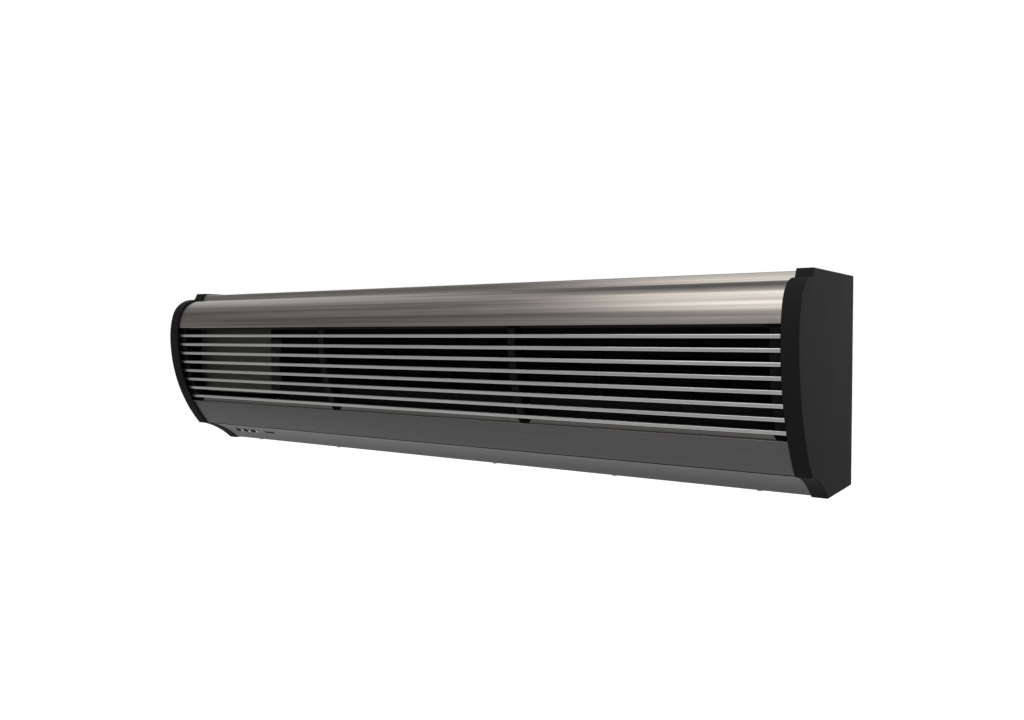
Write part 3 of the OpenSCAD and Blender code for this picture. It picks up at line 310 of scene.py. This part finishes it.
def mouldedPlastic(name, colour, roughness, grit, specular=0.35, depth=0.03, uneven=0.05):
    # a moulded or sprayed skin: fine grain, grit mm across and depth mm deep, that breaks the sheen up, and
    # slightly uneven gloss
    material, tree = newMaterial(name)
    coords = addNode(tree, "ShaderNodeTexCoord")
    grain = addNode(tree, "ShaderNodeTexNoise", {"Vector": coords.outputs["Object"],
        "Scale": 1 / (grit * mm), "Detail": 2.0})
    patch = addNode(tree, "ShaderNodeTexNoise", {"Vector": coords.outputs["Object"],
        "Scale": 1 / (moulding["patch"] * mm), "Detail": 2.0})
    rough = addNode(tree, "ShaderNodeMapRange", {"Value": patch.outputs["Fac"], **spread,
        "To Min": roughness - uneven, "To Max": roughness + uneven})
    tint = addNode(tree, "ShaderNodeMapRange", {"Value": grain.outputs["Fac"], **spread,
        "To Min": 1 - moulding["tone"], "To Max": 1 + moulding["tone"]})
    shade = addNode(tree, "ShaderNodeVectorMath", {0: linear(colour)[:3], "Scale": tint.outputs["Result"]},
        operation="SCALE")
    bump = addNode(tree, "ShaderNodeBump", {"Height": grain.outputs["Fac"], "Strength": moulding["bump"],
        "Distance": depth * mm})
    plastic = addNode(tree, "ShaderNodeBsdfPrincipled", {"Base Color": shade.outputs["Vector"],
        "Roughness": rough.outputs["Result"], "Normal": bump.outputs["Normal"], "Specular IOR Level": specular})
    addNode(tree, "ShaderNodeOutputMaterial", {"Surface": plastic.outputs["BSDF"]})
    return material


def crystalMetal(name, colour, roughness, spangle):
    # bare or plated metal: flat crystals, spangle mm across, each a slightly different tone
    material, tree = newMaterial(name)
    coords = addNode(tree, "ShaderNodeTexCoord")
    cells = addNode(tree, "ShaderNodeTexVoronoi", {"Vector": coords.outputs["Object"], "Scale": 1 / (spangle * mm)})
    cloud = addNode(tree, "ShaderNodeTexNoise", {"Vector": coords.outputs["Object"],
        "Scale": 1 / (crystals["cloud"] * mm), "Detail": 3.0})
    grey = addNode(tree, "ShaderNodeSeparateColor", {"Color": cells.outputs["Color"]})
    tone = addNode(tree, "ShaderNodeMapRange", {"Value": grey.outputs["Red"],
        "To Min": 1 - crystals["tone"], "To Max": 1 + crystals["tone"]})
    shade = addNode(tree, "ShaderNodeVectorMath", {0: linear(colour)[:3], "Scale": tone.outputs["Result"]},
        operation="SCALE")
    rough = addNode(tree, "ShaderNodeMapRange", {"Value": cloud.outputs["Fac"], **spread,
        "To Min": roughness - crystals["uneven"], "To Max": roughness + crystals["uneven"]})
    steel = addNode(tree, "ShaderNodeBsdfPrincipled", {"Base Color": shade.outputs["Vector"],
        "Roughness": rough.outputs["Result"], "Metallic": 1.0})
    addNode(tree, "ShaderNodeOutputMaterial", {"Surface": steel.outputs["BSDF"]})
    return material


print("materials")
# the cover: bright, its highlights drawn out along the body, with strong lengthwise bands in its colour that are
# painted reflection, streaks of the room mirrored in the nose
coverMetal = brushedMetal("BrushedAluminiumCover", "#938e88", 0.33, (0.54, 1.2), (900, 6))
# the panels below the grille: darker and nearly even, so that they look matt
panelMetal = brushedMetal("GreyAnodisedAluminium", "#535252", 0.42, (0.96, 1.04))
# the rail at the grille's foot: a mid grey between the panels and the slats
railMetal = brushedMetal("DullAnodisedAluminium", "#72706e", 0.4, (0.95, 1.05))
# slats and vane: pale lines that catch the light against the dark inside
slatMetal = brushedMetal("SatinAnodisedAluminium", "#b0b0af", 0.32, (0.94, 1.06))
# caps: black with next to no sheen, so that the outer wall stays one even dark tone
capPlastic = mouldedPlastic("BlackAbs", "#1a1a1a", 0.6, 0.5, 0.025, 0.03, 0.01)
# ribs, bushes, spacers and block: deeper black, they melt into the inside
ribPlastic = mouldedPlastic("BlackNylon", "#0c0c0c", 0.6, 0.5, 0.05)
# fan wheel: black with a coarser, fibrous grain
wheelPlastic = mouldedPlastic("GlassFilledNylon", "#151514", 0.6, 0.8, 0.05)
# buttons: soft and matt, black dots in the grey panel
buttonPlastic = mouldedPlastic("BlackSilicone", "#0b0b0b", 0.6, 0.4, 0.05)
# mounts, grommet and hub: dull black
rubber = mouldedPlastic("MouldedRubber", "#151515", 0.75, 0.6, 0.2)
# capacitor: milky white with a waxy gloss
whitePolypropylene = mouldedPlastic("Polypropylene", "#d6d6d2", 0.35, 0.8)
# wire loom: dark grey with a slight gloss
wirePlastic = mouldedPlastic("PvcSleeve", "#3b3b40", 0.45, 0.8)
# the up-facing top of the panel's flange under the rail: matt grey in place of the metal, painted shade that keeps it
# dull where the metal would mirror the light from above
flangePaintedShade = mouldedPlastic("MattGreyPaintedShade", "#8c8a88", 0.6, 1.2, 0.1)
# motor compartment: the grey plate that shows behind the slats at the left
coatedSteel = mouldedPlastic("DarkPowderCoat", "#5c5a56", 0.6, 1.2, 0.1)
# air duct, end and partition plates and folded edges: almost black, painted shade: it stands for the shadow inside the
# body, under the cover's nose and under the lip
ductPaintedShade = mouldedPlastic("NearBlackPaintedShade", "#242322", 0.7, 1.2, 0.05)
# wall plate and chassis: grey with the large flakes of hot-dipped zinc
galvanised = crystalMetal("GalvanisedSteel", "#8d9092", 0.42, 6.0)
# outer screws: pale and fairly bright
zincPlate = crystalMetal("ZincPlatedSteel", "#a9aaa6", 0.3, 1.5)
# screws of the inner sheets: black, with a dull metal glint
blackSteel = crystalMetal("BlackenedSteel", "#242424", 0.55, 1.5)
# shafts, rotor and bearings: the sharpest and brightest metal
groundSteel = crystalMetal("GroundBearingSteel", "#a8a8aa", 0.22, 0.8)
# motor ends: matt grey, as left by the mould
castAluminium = crystalMetal("DieCastAluminium", "#8f9091", 0.5, 1.5)
# bearing bush: porous and brownish
bronze = crystalMetal("SinteredBronze", "#8c6b42", 0.45, 0.6)
# stator: the dark red of lacquered windings
copper = crystalMetal("EnamelledCopper", "#8a4a2c", 0.35, 0.8)
# control board: green with a smooth gloss
board = mouldedPlastic("SolderMask", "#16452a", 0.3, 0.8)
# indicator lights: near white and glossy, unlit
lens = mouldedPlastic("ClearPolycarbonateLens", "#e9ecef", 0.12, 2.0, 0.6, 0.005)
# receiver window: a black bar with hardly any reflection
smoked = mouldedPlastic("SmokedAcrylic", "#050506", 0.4, 2.0, 0.02, 0.003)
# numbers above the buttons: flat black print
ink = mouldedPlastic("PrintedInk", "#151515", 0.6, 0.5, 0.2)

# the finish of each node whose name starts so
nodeFinish = {
    "wall_plate": galvanised, "rear_chassis": galvanised, "end_plate": ductPaintedShade, "partition_plate": ductPaintedShade,
    "compartment_cover": coatedSteel, "compartment_floor": coatedSteel, "scroll": ductPaintedShade,
    "motor_bracket": galvanised, "motor_clamps": galvanised, "motor_can": galvanised, "motor_end": castAluminium,
    "motor_stator": copper, "motor_rotor": groundSteel, "motor_shaft": groundSteel, "motor_bearings": groundSteel,
    "motor_rubber": rubber, "stub_shaft": groundSteel, "bearing_rubber": rubber, "bearing_bush": bronze,
    "drive_hub": rubber, "fan_wheel": wheelPlastic, "grille_rib": ribPlastic, "guide_vane": slatMetal,
    "vane_bushes": ribPlastic, "control_board": board, "board_spacers": ribPlastic, "terminal_block": ribPlastic,
    "run_capacitor": whitePolypropylene, "wire_loom": wirePlastic, "cable_grommet": rubber, "cover_screws": zincPlate,
    "cap_screws": zincPlate, "sheet_screws": blackSteel, "panel_screws": zincPlate, "motor_screws": zincPlate,
}
for name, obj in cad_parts.items():
    for start, material in nodeFinish.items():
        if name.startswith(start):
            paint(obj, material)


# Outer shell

print("top cover")
cover = {"drop": 51, "return": 24, "bendR": 0.9, "edgeR": 0.3, "backU": 0.4, "lift": 0.1,
    "stripH": 2.5, "stripIn": 10, "stripLap": 0.3}
coverV = body["height"] - cover["drop"]
topV = body["height"] - panelIn
footV = shoulderV - panelIn
topCover = sweep("topCover", -xSkin, xSkin, (cover["backU"], topV), [
    ("line", (stepFace(topV, panelIn), topV)),
    ("line", (stepFace(footV, panelIn), footV)),
    *noseSteps(panelIn, coverV + cover["lift"]),
    ("line", (frontU(coverV, panelIn) - cover["return"], coverV + cover["lift"]))])
foldedSheet(topCover, cover["bendR"], cover["edgeR"])
# a narrow strip hangs from the cover's return, behind the front edge; its near-black finish is painted shade, for the
# shadow under the nose
stripU = frontU(coverV) - cover["stripIn"]
coverStrip = sweep("coverStrip", -xSkin, xSkin, (stripU, coverV + cover["stripLap"]), [
    ("line", (stripU, coverV - cover["stripH"]))], facing=(0, -1, 0))
foldedSheet(coverStrip, cover["bendR"], cover["edgeR"])
dress(topCover, coverMetal, "housing", "top_cover")
# painted shade: the strip is made almost black for the shadow under the cover's nose
paint(coverStrip, ductPaintedShade)
coverStrip.select_set(True)
topCover.select_set(True)
bpy.context.view_layer.objects.active = topCover
bpy.ops.object.join()

print("lower front panel")
rail = {"v": 61.8, "h": 4.6, "setback": 10, "back": 37, "bendR": 0.5, "edgeR": 0.3}
lower = {"flange": 20, "bendR": 0.5, "edgeR": 0.3, "shadedDeep": 2, "shadedTilt": 0.7}
lowerTop = rail["v"] - body["fit"]
splitU = coveFrom[0] + body["fit"]
lipV = body["lipV"] + body["underT"]
lipPoint = (frontU(lipV, panelIn), lipV)
topPoint = (frontU(lowerTop, panelIn), lowerTop)
lowerPanel = sweep("lowerFrontPanel", -xSkin, xSkin, (topPoint[0] - lower["flange"], lowerTop), [
    ("line", topPoint),
    ("arc", bellyC, angleOf(bellyC, lipPoint) - angleOf(bellyC, topPoint), strips["lowerFront"]),
    ("line", (splitU, lipV))])
foldedSheet(lowerPanel, lower["bendR"], lower["edgeR"])
dress(lowerPanel, panelMetal, "housing", "lower_front_panel")
# painted shade on the flange's up-facing top, the faces chosen by how far they face up
shadedZ = toFrame(0, 0, lowerTop - lower["shadedDeep"]).z
paintPart(lowerPanel, flangePaintedShade, lambda face: face.normal.z > lower["shadedTilt"] and face.center.z > shadedZ)

print("cove panel")
cove = {"setBack": 2, "frontU": 121, "frontR": 78, "toeGap": 8, "upstand": 8, "bendR": 2.2, "paintedShadeEdge": 3.5,
    "edgeR": 0.3}
control = {
    "drop": 5.5, "start": 30.5, "pitch": 16.5, "holeDeep": 10,
    "buttonR": 3.6, "buttonOut": 1.2, "buttonDeep": 1.7, "buttonRoom": 0.3, "buttonEdge": 0.6,
    "ledR": 1.5, "ledRoom": 0.1,
    "windowL": 20, "windowH": 4, "windowDeep": 2.7, "windowOut": 0.6, "windowGap": 9.5, "windowEdge": 0.5,
    "markH": 3.6, "markUp": 7.4, "markBold": 0.15, "markShare": 0.7, "inkT": 0.05,
}
coveSurfaceR = coveR + body["underT"]
coveTop = splitU - cove["setBack"]
# the hollow closes up a little towards the front, which leaves a gap under the lip; the painted shade on the panel's
# front fold makes the gap dark
coveJoin = (cove["frontU"], coveC[1] + math.sqrt(coveSurfaceR ** 2 - (coveC[0] - cove["frontU"]) ** 2))
frontShare = cove["frontR"] / coveSurfaceR
coveFrontC = tuple(at + (to - at) * frontShare for at, to in zip(coveJoin, coveC))
coveStart = (coveTop, coveFrontC[1] + math.sqrt(cove["frontR"] ** 2 - (coveFrontC[0] - coveTop) ** 2))
coveFoot = (coveC[0] - math.sqrt(coveSurfaceR ** 2 - (body["underT"] - coveC[1]) ** 2), body["underT"])
# the row of controls, square to the hollow
ctlU = (coveFrom[0] + toeU) / 2 - control["drop"]
ctlAngle = 180 - math.degrees(math.acos((coveC[0] - ctlU) / coveSurfaceR))
tilt = math.radians(270 - ctlAngle)
buttonX = [-xRim + control["start"] + k * control["pitch"] for k in range(3)]
windowX = buttonX[-1] + control["pitch"] + control["windowGap"] + control["windowL"] / 2


def onCove(x, up=0.0, out=0.0):
    # a point of the hollow's surface, up mm nearer the lip and out mm proud of it
    turn = math.degrees(up / coveSurfaceR)
    return toFrame(x, *onCircle(coveC, coveSurfaceR - out, ctlAngle - turn))


def disc(name, x, radius, high, out):
    # a cylinder square to the hollow, out mm proud of it
    bpy.ops.object.select_all(action="DESELECT")
    bpy.ops.mesh.primitive_cylinder_add(vertices=strips["disc"], radius=radius * mm, depth=high * mm,
        location=onCove(x, 0, out - high / 2), rotation=(tilt, 0, 0))
    return placed(name)


def block(name, x, size, out):
    # a box square to the hollow, out mm proud of it
    bpy.ops.object.select_all(action="DESELECT")
    bpy.ops.mesh.primitive_cube_add(size=mm, location=onCove(x, 0, out - size[2] / 2), rotation=(tilt, 0, 0))
    bpy.context.object.scale = size
    return placed(name)


holeDeep, holeOut = control["holeDeep"], control["holeDeep"] / 2
holes = [block("windowHole", windowX,
    (control["windowL"] + body["fit"], control["windowH"] + body["fit"], holeDeep), holeOut)]
for x in buttonX:
    holes.append(disc("buttonHole", x, control["buttonR"] + control["buttonRoom"], holeDeep, holeOut))
    holes.append(disc("ledHole", x + control["pitch"] / 2, control["ledR"] + control["ledRoom"], holeDeep, holeOut))
covePanel = sweep("covePanel", -xSkin, xSkin, (coveTop, coveStart[1] + cove["upstand"]), [
    ("line", coveStart),
    ("arc", coveFrontC, angleOf(coveFrontC, coveJoin) - angleOf(coveFrontC, coveStart), strips["coveFront"]),
    ("arc", coveC, angleOf(coveC, coveFoot) - angleOf(coveC, coveJoin), strips["cove"]),
    ("line", (toeU - cove["toeGap"], body["underT"]))], facing=(0, -1, 0))
foldedSheet(covePanel, cove["bendR"], cove["edgeR"], holes)
dress(covePanel, panelMetal, "housing", "cove_panel")
# its front fold is painted almost black: painted shade, for the shadow of the lip
paintedShadeY = toFrame(0, coveTop - cove["paintedShadeEdge"], 0).y
paintPart(covePanel, ductPaintedShade, lambda face: face.center.y < paintedShadeY)

print("bottom rail")
railU = frontU(rail["v"]) - rail["setback"]
bottomRail = sweep("bottomRail", -xSkin, xSkin, (railU, rail["v"] + rail["h"]), [
    ("line", (railU, rail["v"])),
    ("line", (frontU(rail["v"]) - rail["back"], rail["v"]))], facing=(0, -1, 0))
foldedSheet(bottomRail, rail["bendR"], rail["edgeR"])
dress(bottomRail, railMetal, "housing", "bottom_rail")

print("end caps")
cap = {"rimT": body["rimT"] - body["fit"], "edgeR": 0.9, "sharp": 50, "backTilt": 0.9}


def endCap(name, side):
    # a tray: the rim is swept round the outline, the outer wall fills it and the side to the wall stays open
    rim = sweep(name, min(side * xRim, side * xEnd), max(side * xRim, side * xEnd), (0, body["height"]), [
        ("line", (stepU, body["height"])),
        ("line", (stepFace(shoulderV), shoulderV)),
        *noseSteps(0, body["lipV"]),
        ("line", coveFrom),
        ("arc", coveC, angleOf(coveC, coveTo) - angleOf(coveC, coveFrom), strips["capCove"]),
        ("line", (0, 0)),
        ("line", (0, body["height"]))])
    pick(rim, lambda e: all(abs(rim.data.vertices[i].co.x - side * xEnd * mm) < weld for i in e.vertices), "EDGE")
    bpy.ops.mesh.edge_face_add()
    bpy.ops.mesh.select_all(action="SELECT")
    bpy.ops.mesh.normals_make_consistent(inside=False)
    pick(rim, lambda f: f.center.y > -nearby and abs(f.normal.y) > cap["backTilt"], "FACE")
    bpy.ops.mesh.delete(type="ONLY_FACE")
    editMode(False)
    modify(rim, "SOLIDIFY", thickness=cap["rimT"] * mm, offset=-1, use_even_offset=True)
    roundOff(rim, cap["edgeR"], strips["capEdge"], math.radians(cap["sharp"]))
    smooth(rim, mouldSmooth)
    return rim


for name, node, side in (("endCapLeft", "end_cap_left", -1), ("endCapRight", "end_cap_right", 1)):
    dress(endCap(name, side), capPlastic, "housing", node)

# Grille

print("grille")
slat = {"count": 8, "noseT": 4, "edgeR": 0.9, "noseD": 4, "tailT": 2.4, "depth": 14, "inset": 5,
    "lowRise": 7.8, "highDrop": 10.9}
slatLow = rail["v"] + slat["lowRise"]
slatHigh = coverV - slat["highDrop"]


def slatAt(k):
    # the front of slat k, counted from the top
    v = slatHigh - (slatHigh - slatLow) * k / (slat["count"] - 1)
    return frontU(v, slat["inset"]), v


nose, v = slatAt(0)
half, tail = slat["noseT"] / 2, slat["tailT"] / 2
shoulder, end = nose - slat["noseD"], nose - slat["depth"]
edgeC = nose - slat["edgeR"]
firstSlat = sweep("grilleSlat1", -xSkin, xSkin, (end, v + tail), [
    ("line", (shoulder, v + tail)),
    ("line", (shoulder, v + half)),
    ("line", (edgeC, v + half)),
    ("arc", (edgeC, v + half - slat["edgeR"]), -90, strips["slatEdge"]),
    ("line", (nose, v - half + slat["edgeR"])),
    ("arc", (edgeC, v - half + slat["edgeR"]), -90, strips["slatEdge"]),
    ("line", (shoulder, v - half)),
    ("line", (shoulder, v - tail)),
    ("line", (end, v - tail)),
    ("line", (end, v + tail))])
editMode(True)
bpy.ops.mesh.select_all(action="SELECT")
bpy.ops.mesh.fill_holes(sides=0)
bpy.ops.mesh.normals_make_consistent(inside=False)
editMode(False)
smooth(firstSlat, mouldSmooth)
for k in range(slat["count"]):
    made = firstSlat
    if k:
        made = bpy.data.objects.new(f"grilleSlat{k + 1}", firstSlat.data.copy())
        bpy.context.collection.objects.link(made)
        made.data.transform(Matrix.Translation(toFrame(0, *slatAt(k)) - toFrame(0, *slatAt(0))))
    dress(made, slatMetal, "housing", f"grille_slat_{k + 1}")

# Controls

print("controls")
for k, letter in enumerate("abc"):
    button = disc(f"button{letter.upper()}", buttonX[k], control["buttonR"],
        control["buttonOut"] + control["buttonDeep"], control["buttonOut"])
    roundOff(button, control["buttonEdge"], strips["buttonEdge"])
    smooth(button, mouldSmooth)
    dress(button, buttonPlastic, f"button_{letter}", f"button_{k + 1}")

window = block("receiverWindow", windowX, (control["windowL"], control["windowH"], control["windowDeep"]),
    control["windowOut"])
roundOff(window, control["windowEdge"], strips["windowEdge"])
smooth(window, mouldSmooth)
dress(window, smoked, "housing", "receiver_window")
paint(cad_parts["indicator_leds"], lens)

# plain numbers printed above the buttons; markShare is a figure's height as a share of its type size
for k, x in enumerate(buttonX):
    bpy.ops.object.select_all(action="DESELECT")
    bpy.ops.object.text_add(location=onCove(x, control["markUp"], control["inkT"]),
        rotation=(tilt + control["markUp"] / coveSurfaceR, 0, 0))
    words = bpy.context.object.data
    words.body = str(k)
    words.size = control["markH"] * mm / control["markShare"]
    words.align_x, words.align_y = "CENTER", "CENTER"
    words.offset = control["markBold"] * mm
    words.extrude = control["inkT"] / 2 * mm
    bpy.ops.object.convert(target="MESH")
    mark = placed(f"mark{k}")
    paint(mark, ink)
    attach(mark, "housing")

# Floor, light and camera

print("studio")
studio = {
    "floorZ": -0.75, "floorSize": 14, "floorColour": "#efeeec", "floorGlow": 0.6, "floorMirrored": 0.25,
    "worldLight": 0.6, "lowLevel": 0.55, "midLevel": 0.25, "highLevel": 1.4,
    "frontBand": (-0.45, -0.15), "rearBand": (0.1, 0.8),
    "screenLevel": 0.22, "screenX": -0.38, "screenEdge": (0.07, 0.46), "lampAim": (0, -0.1, 0),
    "keyPower": 10.5, "keySize": (0.8, 1.2), "keyAt": (0.05, -0.72, 1.0),
    "fillPower": 8, "fillSize": (1.6, 0.8), "fillAt": (1.6, -1.8, 0.9),
}


def seenRays(tree, mirrored):
    # 1 for what the camera sees, the share mirrored for what shows in metal or through glass, 0 for mere light;
    # and the node that knows each ray's kind
    rays = addNode(tree, "ShaderNodeLightPath")
    indirect = addNode(tree, "ShaderNodeMath", {0: rays.outputs["Is Glossy Ray"],
        1: rays.outputs["Is Transmission Ray"]}, operation="MAXIMUM")
    share = addNode(tree, "ShaderNodeMath", {0: indirect.outputs["Value"], 1: mirrored}, operation="MULTIPLY")
    seen = addNode(tree, "ShaderNodeMath", {0: rays.outputs["Is Camera Ray"], 1: share.outputs["Value"]},
        operation="MAXIMUM")
    return seen, rays


bpy.ops.object.select_all(action="DESELECT")
bpy.ops.mesh.primitive_plane_add(size=studio["floorSize"], location=(0, 0, studio["floorZ"]))
floor = placed("studioFloor")
# white paper that glows a little, so that it stays white to the camera wherever the lamps don't reach
floorPaper, tree = newMaterial("FloorPaper")
seen = seenRays(tree, studio["floorMirrored"])[0]
glow = addNode(tree, "ShaderNodeMath", {0: seen.outputs["Value"], 1: studio["floorGlow"]}, operation="MULTIPLY")
paper = addNode(tree, "ShaderNodeBsdfDiffuse", {"Color": linear(studio["floorColour"])})
shine = addNode(tree, "ShaderNodeEmission", {"Strength": glow.outputs["Value"]})
lit = addNode(tree, "ShaderNodeAddShader", {0: paper.outputs["BSDF"], 1: shine.outputs["Emission"]})
addNode(tree, "ShaderNodeOutputMaterial", {"Surface": lit.outputs["Shader"]})
paint(floor, floorPaper)

world = bpy.data.worlds.new("StudioWorld")
bpy.context.scene.world = world
world.use_nodes = True
tree = world.node_tree
for old in list(tree.nodes):
    tree.nodes.remove(old)
seen, rays = seenRays(tree, 1)
# what metal shows: a white room above and behind, with a dark screen standing in it, and a dimmer room in front
ways = addNode(tree, "ShaderNodeTexCoord")
parts = addNode(tree, "ShaderNodeSeparateXYZ", {"Vector": ways.outputs["Generated"]})
rear = addNode(tree, "ShaderNodeMath", {0: parts.outputs["Y"], 1: parts.outputs["Z"]}, operation="ADD")
front = addNode(tree, "ShaderNodeMapRange", {"Value": rear.outputs["Value"], "From Min": studio["frontBand"][0],
    "From Max": studio["frontBand"][1], "To Min": studio["lowLevel"], "To Max": studio["midLevel"]})
upper = addNode(tree, "ShaderNodeMapRange", {"Value": rear.outputs["Value"], "From Min": studio["rearBand"][0],
    "From Max": studio["rearBand"][1]}, interpolation_type="SMOOTHSTEP")
across = addNode(tree, "ShaderNodeMath", {0: parts.outputs["X"], 1: studio["screenX"]}, operation="SUBTRACT")
aside = addNode(tree, "ShaderNodeMath", {0: across.outputs["Value"]}, operation="ABSOLUTE")
back = addNode(tree, "ShaderNodeMapRange", {"Value": aside.outputs["Value"], "From Min": studio["screenEdge"][0],
    "From Max": studio["screenEdge"][1], "To Min": studio["screenLevel"], "To Max": studio["highLevel"]},
    interpolation_type="SMOOTHSTEP")
room = addNode(tree, "ShaderNodeMix", {"Factor": upper.outputs["Result"], "A": front.outputs["Result"],
    "B": back.outputs["Result"]})
shown = addNode(tree, "ShaderNodeMix", {"Factor": rays.outputs["Is Camera Ray"], "A": room.outputs["Result"], "B": 1.0})
level = addNode(tree, "ShaderNodeMix", {"Factor": seen.outputs["Value"], "A": studio["worldLight"],
    "B": shown.outputs["Result"]})
sky = addNode(tree, "ShaderNodeBackground", {"Color": (1, 1, 1, 1), "Strength": level.outputs["Result"]})
addNode(tree, "ShaderNodeOutputWorld", {"Surface": sky.outputs["Background"]})


def softBox(name, power, size, at):
    bpy.ops.object.select_all(action="DESELECT")
    bpy.ops.object.light_add(type="AREA", location=at)
    lamp = bpy.context.object
    lamp.name = name
    lamp.data.energy = power
    lamp.data.shape = "RECTANGLE"
    lamp.data.size, lamp.data.size_y = size
    lamp.rotation_mode = "QUATERNION"
    lamp.rotation_quaternion = (Vector(studio["lampAim"]) - Vector(at)).to_track_quat("-Z", "Y")


softBox("keyLight", studio["keyPower"], studio["keySize"], studio["keyAt"])
softBox("fillLight", studio["fillPower"], studio["fillSize"], studio["fillAt"])

# the camera in mm and degrees, as worked out from the body's own parallel edges
view = {"x": 664.09, "u": 942.35, "v": 161.5, "yaw": 34.43, "pitch": 1.875, "roll": 0.14, "lens": 30.23, "sensor": 36}
yaw, pitch = math.radians(view["yaw"]), math.radians(view["pitch"])
ahead = Vector((-math.sin(yaw) * math.cos(pitch), math.cos(yaw) * math.cos(pitch), -math.sin(pitch)))
bpy.ops.object.select_all(action="DESELECT")
bpy.ops.object.camera_add(location=toFrame(view["x"], view["u"], view["v"]))
camera = bpy.context.object
camera.rotation_mode = "QUATERNION"
camera.rotation_quaternion = ahead.to_track_quat("-Z", "Y")
camera.rotation_quaternion.rotate(Matrix.Rotation(math.radians(view["roll"]), 3, ahead))
camera.data.sensor_width = view["sensor"]
camera.data.lens = view["lens"]
bpy.context.scene.camera = camera
bpy.context.scene.view_settings.view_transform = "Standard"
